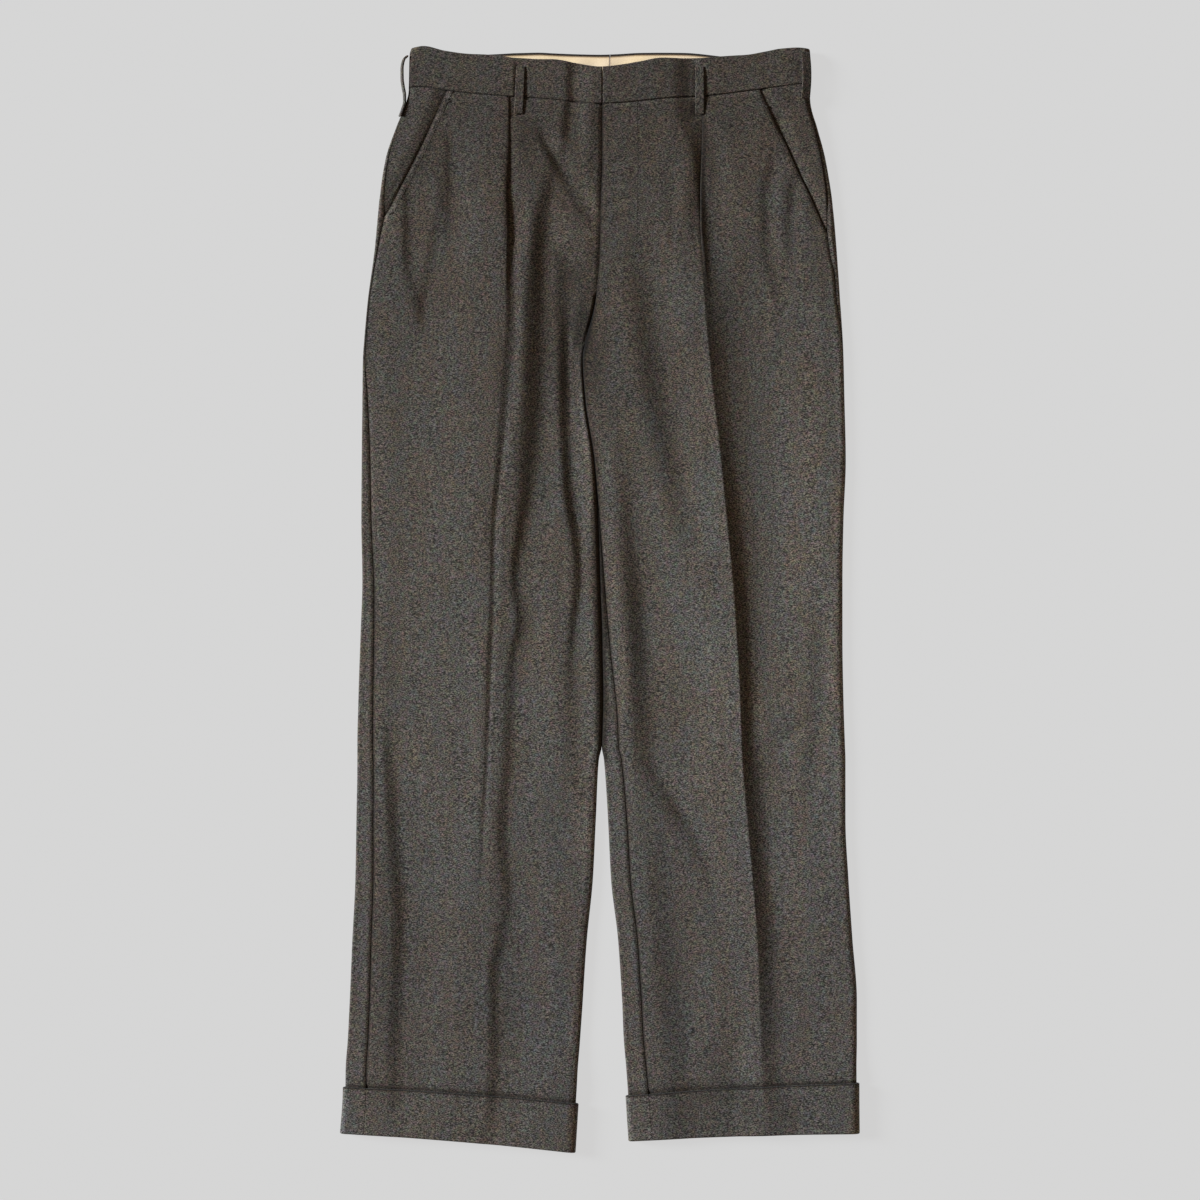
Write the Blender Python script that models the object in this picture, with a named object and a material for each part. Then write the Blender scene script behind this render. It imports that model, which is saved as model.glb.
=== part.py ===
"""Pleated dress trousers with turn-ups, laid flat on their back.

The front faces up (+Z), the waist points to +Y, and "right" and "left" are the wearer's, so the
right leg lies at -X.  The origin is the middle of the trousers' outline, on the surface under them.
Sizes are millimetres up to the last step, where each solid is made in metres.

Each leg is a flattened tube of cloth.  A section across it runs along the surface that it lies on,
round a soft fold at each side and back over the top.  Places on that section are given by how far
they are from the leg's edge, measured along the cloth as if the fold were opened out flat.
"""

import math
from bisect import bisect_right

import bmesh
import bpy

METRES = 0.001                # one millimetre

# --- cloth -------------------------------------------------------------------------------------
CLOTH = 1.2                   # wall of one layer of wool
BAND = 2.4                    # waistband and turn-up: cloth folded double over a stiffener
LINING = 1.2                  # cotton lining inside the waistband
LOOP = 1.6                    # belt loops: a strip folded in three
GAP = 0.3                     # left between neighbouring pieces
LAYER = CLOTH + GAP           # from one layer to the next that lies on it

# --- lengths along the trousers -------------------------------------------------------------------
CROTCH_Y = 248.0              # under this the legs are two tubes
FLY_END_Y = 312.0             # the fly's underlap stops here
FLY_UNDERLAP = 8.0            # how far the right front runs on under the left front
FLY_SLOPE = 16.0              # the right front sinks under the left one over this width
POCKET_END_Y = {"right": 381.0, "left": 365.0}     # where each mouth meets its side seam
POCKET_UNDERLAP = 8.0         # how far the pocket side runs on under the front
POCKET_SLOPE = 14.0           # the pocket side sinks under the mouth over this width
POCKET_STEPS = 9              # its grid lines, counted from the side seam
POCKET_CROWDING = 1.6         # over 1, they lie closer together near the seam
HEM_Y = -500.0                # the middle of the turn-ups, for what hardly changes along them
HEM_BOW = {"right": 2.0, "left": 1.5}              # the hems bow upwards this much at mid-leg

# --- grid lines and edges -------------------------------------------------------------------------
EDGE_FADE = {"right": 30.0, "left": 18.0}          # folds die out over this width at the outer edge
INNER_FADE = 16.0             # and over this one at the inner edge
LOFT = 1.4                    # the front stands this much off the back away from the edges
EDGE_STEPS = (0.0, 1.3, 2.6, 4.2, 7.0)             # grid lines next to a panel's seam
ARC_STEPS = 7                 # grid lines of a back from its seam round an edge to the base
TOP_STEPS = 2                 # how many of them lie on top, where the back wraps over so far
CENTRE_STEP = 1.8             # and how far apart they lie at the centre-back seam
FLAT_FROM_EDGE = 16.0         # from there inwards a back is flat

# --- pleats ---------------------------------------------------------------------------------------
PLEAT_RADIUS = LAYER / 2      # the tightest turn of the cloth's middle surface
PLEAT_ARC = 1.6               # length of each turn once the pleat has opened
PLEAT_TURNS = (0.0, 1 / 3, 2 / 3, 1.0)             # grid lines along a turn
PLEAT_RISE = 26.0             # the layer under the pleat comes back up over this width

# --- waistband -------------------------------------------------------------------------------------
BAND_Y = 525.0                # mid-height of the band, for what hardly changes across it
BAND_SHARES = (0.0, 0.5, 0.93, 1.0)                # rows from its seam to its top edge
BAND_ENDS = (0.0, 6.0, 13.0, 22.0)                 # grid lines next to the centre front
BAND_TAPER = 60.0             # the band's ends follow the outline over this width at the side
BAND_SIDE = 14.0              # its long grid spacing stops this far from the side
BAND_FRONT_STEPS = 10         # grid lines along its front
BAND_BACK_STEPS = 5           # and along its back
BAND_BEND = 7.5               # the grid line between that and the bend
BAND_TURN = (1.0, 0.6, 0.2, -0.2, -0.6, -1.0)      # grid lines round the bend, in quarter turns
LINING_END_X = 158.0          # the lining is built as far out as it shows
LINING_SHARES = (0.12, 0.5, 0.955)
LINING_STEPS = 8

# --- belt loops ------------------------------------------------------------------------------------
LOOP_WIDTH = 9.0
LOOP_STEPS = 10
LOOP_FULLNESS = 0.7           # under 1, a loop's arch rises faster at its ends
FRONT_LOOP_TOP_Y = 533.0
FRONT_LOOP_BOTTOM_Y = 486.0
FRONT_LOOP_X = {"right": (-79.2, -81.5), "left": (99.5, 99.8)}    # at the top and the bottom
FRONT_LOOP_STAND = 2.2        # how far a front loop arches off the waistband
SIDE_LOOP_TOP_Y = 547.5
SIDE_LOOP_BOTTOM_Y = 501.0
SIDE_LOOP_X = 211.2           # outer edge of the left side loop at mid-length
SIDE_LOOP_WAIST = 1.4         # how much further in that edge lies at the loop's ends
SIDE_LOOP_STAND = 1.9
SIDE_LOOP_LIFT = 1.5          # it rests a little off the fold
SIDE_LOOP_TILT = 2.2          # drop of its outer edge

WOOL = (0.079, 0.070, 0.061, 1.0)
COTTON = (0.83, 0.66, 0.43, 1.0)


class Table:
    """Rows of numbers under named columns.  The first column is the key the rows are read by."""

    def __init__(self, names, *rows):
        self.names = names.split()
        ordered = sorted(rows)
        self.keys = [row[0] for row in ordered]
        self.columns = {name: [row[i] for row in ordered] for i, name in enumerate(self.names)}

    def at(self, name, key):
        """The column's value at the key, on a smooth curve that never swings past the rows."""
        values = self.columns[name]
        if key <= self.keys[0]:
            return values[0]
        if key >= self.keys[-1]:
            return values[-1]
        i = bisect_right(self.keys, key) - 1
        span = self.keys[i + 1] - self.keys[i]
        t = (key - self.keys[i]) / span
        start = self.slope(values, i) * span
        end = self.slope(values, i + 1) * span
        rise = values[i + 1] - values[i]
        return values[i] + t * (start + t * (3 * rise - 2 * start - end + t * (start + end - 2 * rise)))

    def slope(self, values, i):
        """Slope of the curve at a row: the harmonic mean of the slopes on both sides of it."""
        if i == 0 or i == len(values) - 1:
            i = min(max(i, 1), len(values) - 1)
            return (values[i] - values[i - 1]) / (self.keys[i] - self.keys[i - 1])
        before = (values[i] - values[i - 1]) / (self.keys[i] - self.keys[i - 1])
        after = (values[i + 1] - values[i]) / (self.keys[i + 1] - self.keys[i])
        if before * after <= 0:
            return 0.0
        return 2 * before * after / (before + after)


# The flat outline: the two outer edges, the line between the legs (above the crotch it is the
# centre-front seam), how far the legs part there, and the centre-back seam.
OUTLINE = Table(
    "y    right_outer centre parting left_outer centre_back",
    (554, -188.0, 2.5, 0.0, 209.6, 10),
    (545, -190.6, 2.5, 0.0, 210.4, 10),
    (508, -191.6, 2.5, 0.0, 210.0, 10),
    (498, -194.0, 2.5, 0.0, 210.6, 10),
    (490, -197.0, 2.5, 0.0, 212.0, 10),
    (474, -203.6, 2.5, 0.0, 217.0, 10),
    (440, -215.0, 2.5, 0.0, 226.0, 10),
    (400, -221.0, 1.0, 0.0, 232.5, 9),
    (350, -225.8, 0.0, 0.0, 237.0, 6),
    (300, -232.5, -4.5, 0.0, 240.5, -2),
    (262, -236.0, -13.5, 0.0, 243.0, -13),
    (240, -237.5, -17.5, 0.6, 244.0, -17),
    (200, -238.0, -15.0, 0.6, 245.0, -15),
    (140, -238.6, -6.0, 0.6, 246.3, -6),
    (80, -239.0, -2.0, 0.6, 244.0, -2),
    (20, -238.0, 0.0, 0.6, 243.0, 0),
    (-40, -240.0, 2.0, 0.6, 243.0, 2),
    (-100, -242.0, 3.0, 0.8, 244.0, 3),
    (-146, -243.0, 1.8, 1.2, 245.5, 2),
    (-160, -243.0, 1.5, 5.0, 246.0, 2),
    (-220, -244.0, 2.0, 12.0, 246.0, 2),
    (-280, -245.0, 2.0, 18.0, 249.0, 2),
    (-340, -248.0, 2.5, 31.0, 253.0, 2),
    (-400, -250.6, 2.5, 39.0, 257.4, 2),
    (-440, -252.6, 2.0, 43.5, 257.4, 2),
    (-470, -254.6, 2.1, 48.5, 256.9, 2),
    (-490, -254.7, 2.3, 51.0, 256.9, 2),
    (-553, -259.3, 2.4, 59.0, 257.4, 2),
)

# How far each back panel wraps over the edges to its seams, along the cloth from the edge.
WRAP = Table(
    "y    right_side right_inseam left_inseam left_side",
    (505, 2.2, 0, 0, 2.2),
    (470, 3.0, 0, 0, 4.0),
    (440, 4.0, 0, 0, 5.0),
    (410, 5.0, 0, 0, 5.5),
    (381, 6.8, 0, 0, 7.5),
    (365, 5.0, 0, 0, 8.6),
    (346, 3.5, 0, 0, 7.5),
    (326, 2.5, 0, 0, 4.5),
    (300, 2.0, 0, 0, 4.0),
    (271, 2.4, 0, 0, 2.0),
    (240, 3.0, 0, 0, 0.3),
    (200, 6.0, 0, 0, 0.0),
    (140, 9.0, 0, 0, 0.0),
    (40, 11.5, 0, 4, 0.0),
    (-40, 14.0, 0, 8, 0.0),
    (-160, 16.5, 0, 18, 0.0),
    (-280, 18.5, 0, 20, 0.0),
    (-400, 20.5, 0, 20, 0.0),
    (-550, 22.0, 0, 22, 0.0),
)

# The flattened tube: its height at the edges, and how far its underside is off the surface.  Near
# the hem it lies on the back of the turn-up, and at the waist it takes in the waistband.
TUBE = Table(
    "y    height base",
    (505, 8.4, 0.0),
    (480, 7.0, 0.0),
    (440, 5.6, 0.0),
    (400, 4.8, 0.0),
    (-435, 4.8, 0.0),
    (-462, 4.8, 1.2),
    (-480, 4.8, 2.7),
    (-560, 4.8, 2.7),
)

# The slanted pocket mouths.
MOUTH = Table(
    "y    right left",
    (520, -147.0, 156.0),
    (508, -153.4, 160.9),
    (481, -166.0, 173.5),
    (456, -177.4, 186.0),
    (427, -192.0, 199.0),
    (405, -203.5, 210.0),
    (381, -215.0, 220.5),
    (365, -219.0, 227.2),
)

# The waist from side to side: the seam under the waistband and the band's top edge, front and back.
WAIST = Table(
    "x    front_seam front_top back_seam back_top",
    (-192, 512.0, 551.5, 506, 550.0),
    (-180, 513.0, 554.0, 506, 551.6),
    (-155, 509.5, 549.0, 506, 547.2),
    (-131, 506.5, 545.9, 506, 545.6),
    (-115, 505.2, 545.4, 506, 546.2),
    (-100, 504.0, 545.0, 506, 546.7),
    (-80, 502.6, 541.4, 506, 547.8),
    (-62, 501.2, 540.6, 506, 548.1),
    (-47, 500.0, 540.2, 506, 547.6),
    (-25, 497.8, 537.0, 506, 546.4),
    (0, 496.0, 533.0, 506, 545.9),
    (15, 496.4, 534.0, 506, 546.6),
    (40, 498.6, 538.0, 506, 548.0),
    (62, 501.0, 541.8, 506, 548.2),
    (85, 502.8, 541.4, 506, 548.0),
    (100, 503.6, 542.2, 506, 546.8),
    (115, 504.6, 543.0, 506, 544.8),
    (130, 506.4, 543.9, 506, 543.9),
    (147, 508.6, 545.0, 506, 544.6),
    (165, 511.0, 548.2, 506, 546.4),
    (181, 513.2, 551.2, 506, 549.5),
    (198, 515.4, 552.3, 506, 550.0),
    (210, 516.5, 551.2, 506, 549.0),
)

# The pleats: where the folded edge lies, how far the cloth turns back under it (180 degrees is a
# closed pleat, 0 is open cloth), and how deep the turned-back layer is.
PLEAT = Table(
    "y    right left turn depth",
    (510, -91.0, 103.5, 180, 15.0),
    (470, -91.0, 103.0, 180, 13.5),
    (440, -92.0, 102.0, 180, 11.0),
    (410, -93.5, 101.0, 180, 7.0),
    (381, -93.0, 101.0, 150, 1.0),
    (345, -92.0, 102.0, 40, 1.0),
    (300, -92.0, 104.5, 6, 3.0),
    (240, -95.0, 108.0, 2, 3.0),
    (200, -98.0, 111.0, 2, 3.0),
    (140, -102.0, 117.0, 2, 3.0),
    (80, -106.0, 123.0, 2, 3.0),
    (20, -107.5, 128.0, 2, 3.0),
    (-40, -111.0, 132.0, 2, 3.0),
    (-100, -111.5, 135.5, 2, 3.0),
    (-160, -113.0, 138.0, 2, 3.0),
    (-220, -118.0, 144.0, 2, 3.0),
    (-280, -119.5, 149.0, 2, 3.0),
    (-340, -120.0, 156.0, 2, 3.0),
    (-400, -120.0, 160.0, 2, 3.0),
    (-560, -120.0, 160.0, 2, 3.0),
)

# Lines of the grid that follow the folds of each front, from the side to the inner edge.
RIGHT_LINES = Table(
    "y    outer crease valley ridge inner",
    (510, -150.0, -78.0, -56.0, -42.0, -26.0),
    (400, -176.0, -81.5, -54.0, -43.0, -30.0),
    (345, -196.0, -82.5, -58.0, -45.0, -33.0),
    (280, -196.0, -84.5, -61.0, -47.0, -32.0),
    (240, -196.0, -87.0, -62.0, -46.5, -30.5),
    (200, -196.0, -90.0, -62.5, -45.5, -29.0),
    (140, -196.0, -93.5, -67.0, -44.0, -27.0),
    (60, -198.0, -99.5, -78.0, -40.0, -20.0),
    (20, -200.0, -100.8, -80.0, -38.0, -18.5),
    (-40, -204.0, -103.0, -80.0, -38.0, -19.5),
    (-160, -212.0, -107.5, -87.0, -42.0, -22.0),
    (-280, -210.0, -110.5, -89.0, -52.0, -30.0),
    (-400, -205.0, -111.0, -98.0, -64.0, -40.0),
    (-560, -205.0, -111.0, -102.0, -70.0, -46.0),
)
LEFT_LINES = Table(
    "y    outer foot plane valley inner",
    (510, 148.0, 122.0, 80.0, 50.0, 25.0),
    (400, 172.0, 124.0, 78.0, 46.0, 22.0),
    (345, 178.0, 123.0, 78.0, 50.0, 21.0),
    (280, 182.0, 125.0, 84.0, 58.0, 22.0),
    (240, 186.0, 128.0, 86.0, 64.0, 22.0),
    (200, 188.0, 132.0, 88.0, 67.0, 23.0),
    (140, 190.0, 136.0, 90.0, 58.0, 20.0),
    (80, 194.0, 142.0, 92.0, 46.0, 20.0),
    (20, 203.0, 146.0, 96.0, 47.0, 25.0),
    (-40, 212.0, 149.0, 96.0, 52.0, 31.0),
    (-160, 211.0, 153.0, 98.0, 57.0, 35.0),
    (-280, 206.0, 165.0, 114.0, 74.0, 48.0),
    (-400, 210.0, 176.0, 124.0, 88.0, 58.0),
    (-560, 210.0, 176.0, 124.0, 96.0, 74.0),
)

# The largest folds, as ridges (height above 0) and troughs (below 0) along a path.  minus_x and
# plus_x are the widths of their two flanks; sharp is 0 for a rounded crest and 1 for a keen one.
FOLDS = {
    "right thigh": Table(
        "y    x height minus_x plus_x sharp",
        (500, -100.0, 0.0, 90, 80, 0.0),
        (430, -98.0, 1.6, 100, 84, 0.0),
        (370, -94.0, 4.2, 110, 88, 0.0),
        (300, -93.0, 5.6, 115, 88, 0.0),
        (140, -100.0, 5.8, 118, 92, 0.0),
        (20, -108.0, 4.6, 112, 92, 0.0),
        (-100, -114.0, 3.2, 104, 86, 0.0),
        (-250, -122.0, 2.0, 96, 80, 0.0),
        (-480, -130.0, 0.6, 90, 80, 0.0),
    ),
    "right crease": Table(
        "y    x height minus_x plus_x sharp",
        (430, -82.0, 0.0, 12, 14, 0.2),
        (370, -82.5, 0.6, 14, 15, 0.5),
        (300, -83.5, 1.0, 14, 16, 0.7),
        (240, -87.0, 1.2, 15, 17, 0.7),
        (160, -92.5, 1.2, 15, 18, 0.7),
        (80, -98.5, 1.2, 14, 16, 0.7),
        (0, -101.5, 1.1, 13, 13, 0.6),
        (-80, -104.5, 1.0, 13, 13, 0.5),
        (-160, -108.5, 0.9, 13, 13, 0.4),
        (-240, -111.0, 0.7, 13, 14, 0.3),
        (-360, -112.0, 0.6, 14, 16, 0.2),
        (-540, -112.0, 0.4, 16, 18, 0.2),
    ),
    "right deep valley": Table(
        "y    x height minus_x plus_x sharp",
        (450, -46.0, 0.0, 12, 20, 0.0),
        (425, -44.0, -2.0, 12, 22, 0.0),
        (390, -50.0, -3.6, 14, 24, 0.0),
        (350, -57.0, -4.6, 18, 26, 0.0),
        (300, -60.0, -5.0, 21, 28, 0.0),
        (200, -62.0, -5.0, 22, 30, 0.0),
        (140, -67.0, -4.6, 21, 34, 0.0),
        (60, -79.0, -3.6, 16, 34, 0.0),
        (20, -82.0, -3.3, 14, 32, 0.0),
        (-20, -75.0, -2.8, 13, 30, 0.1),
        (-60, -83.0, -2.8, 13, 30, 0.1),
        (-160, -87.0, -2.7, 13, 30, 0.1),
        (-230, -92.0, -2.3, 12, 30, 0.1),
        (-300, -85.0, -2.0, 12, 30, 0.1),
        (-380, -101.0, -2.0, 12, 28, 0.1),
        (-450, -97.0, -1.8, 12, 28, 0.0),
        (-560, -108.0, -1.0, 12, 26, 0.0),
    ),
    "right second ridge": Table(
        "y    x height minus_x plus_x sharp",
        (360, -45.0, 0.0, 14, 12, 0.0),
        (325, -46.0, 1.2, 20, 13, 0.2),
        (260, -47.0, 1.7, 24, 14, 0.2),
        (140, -44.0, 1.8, 28, 15, 0.2),
        (60, -38.0, 1.8, 32, 15, 0.1),
        (0, -36.0, 1.6, 34, 14, 0.0),
        (-100, -40.0, 1.2, 34, 14, 0.0),
        (-220, -44.0, 0.0, 30, 18, 0.0),
    ),
    "right third valley": Table(
        "y    x height minus_x plus_x sharp",
        (346, -34.0, 0.0, 18, 20, 0.0),
        (328, -34.0, -2.4, 16, 22, 0.0),
        (260, -31.0, -3.4, 14, 22, 0.1),
        (140, -27.0, -3.6, 14, 22, 0.1),
        (60, -18.0, -3.2, 14, 18, 0.1),
        (0, -17.0, -2.8, 13, 18, 0.0),
        (-60, -21.0, -2.5, 13, 20, 0.0),
        (-130, -21.0, -1.8, 13, 20, 0.0),
        (-220, -22.0, 0.0, 14, 16, 0.0),
    ),
    "left crease": Table(
        "y    x height minus_x plus_x sharp",
        (440, 99.0, 0.0, 70, 16, 0.2),
        (380, 99.5, 1.8, 90, 30, 0.5),
        (320, 102.0, 4.0, 105, 38, 0.9),
        (240, 107.5, 5.6, 110, 40, 0.95),
        (140, 117.0, 6.0, 105, 36, 0.95),
        (60, 125.0, 6.0, 100, 28, 0.95),
        (0, 130.0, 5.8, 96, 22, 0.95),
        (-100, 136.0, 5.4, 90, 19, 0.95),
        (-160, 138.5, 5.2, 80, 22, 0.95),
        (-220, 144.0, 4.8, 72, 24, 0.9),
        (-340, 156.0, 3.8, 60, 24, 0.9),
        (-480, 160.5, 2.4, 54, 22, 0.8),
        (-560, 161.0, 1.6, 50, 20, 0.7),
    ),
    "left upper valley": Table(
        "y    x height minus_x plus_x sharp",
        (380, 42.0, 0.0, 22, 34, 0.0),
        (320, 52.0, -2.4, 28, 46, 0.0),
        (260, 62.0, -4.6, 31, 54, 0.0),
        (200, 70.0, -5.2, 31, 56, 0.0),
        (140, 81.0, -4.4, 30, 50, 0.0),
        (80, 91.0, -2.4, 27, 40, 0.0),
        (30, 96.0, 0.0, 26, 32, 0.0),
    ),
    "left inner ridge": Table(
        "y    x height minus_x plus_x sharp",
        (380, 18.0, 0.0, 24, 30, 0.0),
        (300, 22.0, 1.6, 30, 32, 0.0),
        (200, 24.0, 1.8, 34, 32, 0.0),
        (120, 17.0, 1.8, 30, 24, 0.3),
        (60, 21.0, 2.4, 34, 22, 0.7),
        (0, 26.0, 2.8, 38, 22, 0.9),
        (-60, 33.0, 2.8, 44, 22, 0.9),
        (-140, 34.0, 2.4, 44, 21, 0.9),
        (-175, 35.0, 1.4, 40, 22, 0.5),
        (-250, 38.0, 0.0, 34, 24, 0.0),
    ),
    "left third valley": Table(
        "y    x height minus_x plus_x sharp",
        (150, 34.0, 0.0, 20, 36, 0.0),
        (110, 38.0, -1.4, 20, 44, 0.0),
        (60, 43.0, -2.4, 21, 56, 0.0),
        (0, 48.0, -2.8, 21, 60, 0.0),
        (-60, 54.0, -2.8, 20, 60, 0.0),
        (-140, 55.0, -2.4, 20, 58, 0.0),
        (-180, 58.0, -1.4, 22, 52, 0.0),
        (-240, 64.0, 0.0, 24, 46, 0.0),
    ),
    "left outer valley": Table(
        "y    x height minus_x plus_x sharp",
        (400, 146.0, 0.0, 30, 60, 0.0),
        (320, 146.0, -1.6, 30, 70, 0.0),
        (240, 150.0, -2.4, 32, 74, 0.0),
        (60, 158.0, -2.6, 28, 70, 0.0),
        (-120, 164.0, -2.4, 24, 66, 0.0),
        (-240, 172.0, -2.0, 26, 66, 0.0),
        (-360, 184.0, -1.6, 28, 60, 0.0),
        (-500, 188.0, -0.8, 28, 56, 0.0),
    ),
    "waist arch": Table(
        "y    x height minus_x plus_x sharp",
        (556, 4.0, 4.2, 175, 190, 0.0),
        (505, 4.0, 2.6, 175, 190, 0.0),
        (460, 4.0, 0.9, 165, 180, 0.0),
        (420, 4.0, 0.0, 160, 170, 0.0),
    ),
}

# Rows of the grid along the trousers.  Near the waist, where the seam is about SEAM_Y, a row is a y
# and the share by which it follows the seam.  Near the hem it slants: its y is given at the outer
# and the inner edge of each leg.
SEAM_Y = 505.0
WAIST_ROWS = ((505, 1.0), (492, 0.9), (472, 0.6), (440, 0.2))
PLAIN_ROWS = (410, 381, 365, 345, 320, 300, 280, 256, 240, 200, 160, 110, 60, 10, -40, -95,
              -150, -200, -260, -320, -380, -430)
HEM_ROWS = Table(
    "row  right_outer right_inner left_inner left_outer",
    (1, -460.0, -468.0, -466.0, -461.0),
    (2, -481.0, -496.0, -488.0, -478.0),
    (3, -487.0, -503.5, -495.5, -483.0),
    (4, -508.0, -525.0, -517.0, -508.0),
    (5, -530.5, -550.0, -538.3, -530.9),
    (6, -533.8, -553.2, -541.4, -533.8),
)
LEG_ROWS = (1, 2, 3, 4, 5)
TURNUP_ROWS = (3, 4, 6)       # the turn-up starts at row 3 and reaches past the end of the leg


def fall(t):
    """1 at t = 0, easing down to 0 at t = 1."""
    t = min(max(t, 0.0), 1.0)
    return (1 - t) * (1 - t) * (1 + 2 * t)


class Leg:
    """One side of the trousers; x is a place in the model, p a distance from its outer edge."""

    def __init__(self, name):
        self.name = name
        self.side = 1 if name == "left" else -1
        self.lines = LEFT_LINES if name == "left" else RIGHT_LINES

    def outer(self, y):
        return OUTLINE.at(self.name + "_outer", y)

    def inner(self, y):
        return OUTLINE.at("centre", y) + self.side * OUTLINE.at("parting", y) / 2

    def width(self, y):
        return abs(self.outer(y) - self.inner(y))

    def x(self, y, p):
        return self.outer(y) - self.side * p

    def p(self, y, x):
        return (self.outer(y) - x) * self.side

    def wrap(self, seam, y):
        return WRAP.at(f"{self.name}_{seam}", y)


RIGHT = Leg("right")
LEFT = Leg("left")


def relief(x, y):
    """How far the front stands up at a place because of its folds."""
    total = 0.0
    for fold in FOLDS.values():
        reach = x - fold.at("x", y)
        flank = fold.at("plus_x" if reach > 0 else "minus_x", y)
        t = abs(reach) / flank
        if t < 1:
            crest = 2 * (1 - fold.at("sharp", y))
            total += fold.at("height", y) * (1 - t) * (1 - t) * (1 + crest * t)
    return total


def lift(leg, x, y):
    """Loft and folds, fading out at the leg's rounded edges."""
    outside = 1 - fall(abs(leg.outer(y) - x) / EDGE_FADE[leg.name])
    inside = 1 - fall(abs(leg.inner(y) - x) / INNER_FADE) if y < CROTCH_Y else 1.0
    return (LOFT + relief(x, y)) * outside * inside


def edge_radius(y, wall):
    """Radius of the wall's middle surface where it rounds a leg's edge."""
    return (TUBE.at("height", y) - wall) / 2


def edge_start(y, wall):
    """Opened-out place of the outermost point of the edge."""
    return wall / 2 + edge_radius(y, wall) * (1 - math.pi / 2)


def ring(leg, y, s, inward=True, wall=CLOTH, sink=0.0):
    """A point (x, z) of the wall's middle surface at the opened-out place s.

    s is measured from the outer edge when inward is true and from the inner edge otherwise, over
    the top of the tube.  Less than edge_start is round the edge and on under the leg.
    """
    base = TUBE.at("base", y)
    height = TUBE.at("height", y)
    radius = edge_radius(y, wall)
    start = edge_start(y, wall)
    rounded = inward or y < CROTCH_Y
    lifted = True
    if s >= wall / 2 + radius or not rounded:
        p = s
        z = base + height - wall / 2 - sink
    elif s > start - radius * math.pi / 2:
        angle = (s - start) / radius
        p = wall / 2 + radius * (1 - math.cos(angle))
        z = base + height / 2 + radius * math.sin(angle)
        lifted = False
    else:
        p = 2 * start - s
        z = base + wall / 2
        lifted = False
    x = leg.x(y, p) if inward else leg.inner(y) + leg.side * p
    if lifted:
        z += lift(leg, x, y)
    return x, z


def pleat_shape(y):
    """The pleat's section: offsets (p, z) of its grid lines from where the top layer ends."""
    turn = math.radians(PLEAT.at("turn", y))
    depth = PLEAT.at("depth", y)
    radius = max(PLEAT_RADIUS, PLEAT_ARC / turn)
    across = radius * math.sin(turn)
    down = radius * (1 - math.cos(turn))
    points = [(radius * math.sin(turn * t), -radius * (1 - math.cos(turn * t)))
              for t in PLEAT_TURNS]
    under = (across + depth * math.cos(turn), -down - depth * math.sin(turn))
    for t in PLEAT_TURNS:
        rest = turn * (1 - t)
        points.append((under[0] + across - radius * math.sin(rest),
                       under[1] - radius * (math.cos(rest) - math.cos(turn))))
    opened = (1 + math.cos(turn)) / 2
    lead = opened * points[-1][0] / 2 + (1 - opened) * radius
    return [(p - lead, z) for p, z in points]


def pleat_line(leg, y, index):
    """A point (x, z) on one of the pleat's grid lines."""
    edge = leg.p(y, PLEAT.at(leg.name, y))
    dp, dz = pleat_shape(y)[index]
    x, z = ring(leg, y, edge + dp)
    return x, z + dz


def under_pleat(leg, y, p):
    """How far the front lies lower at p because it comes from under the pleat."""
    edge = leg.p(y, PLEAT.at(leg.name, y))
    dp, dz = pleat_shape(y)[-1]
    reach = p - edge - dp
    return dz * fall(reach / PLEAT_RISE) if reach > 0 else 0.0


def front_point(leg, y, x):
    """A point (x, z) of a front's middle surface beside the pleat's own lines."""
    p = leg.p(y, x)
    x, z = ring(leg, y, p)
    return x, z + under_pleat(leg, y, p)


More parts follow.
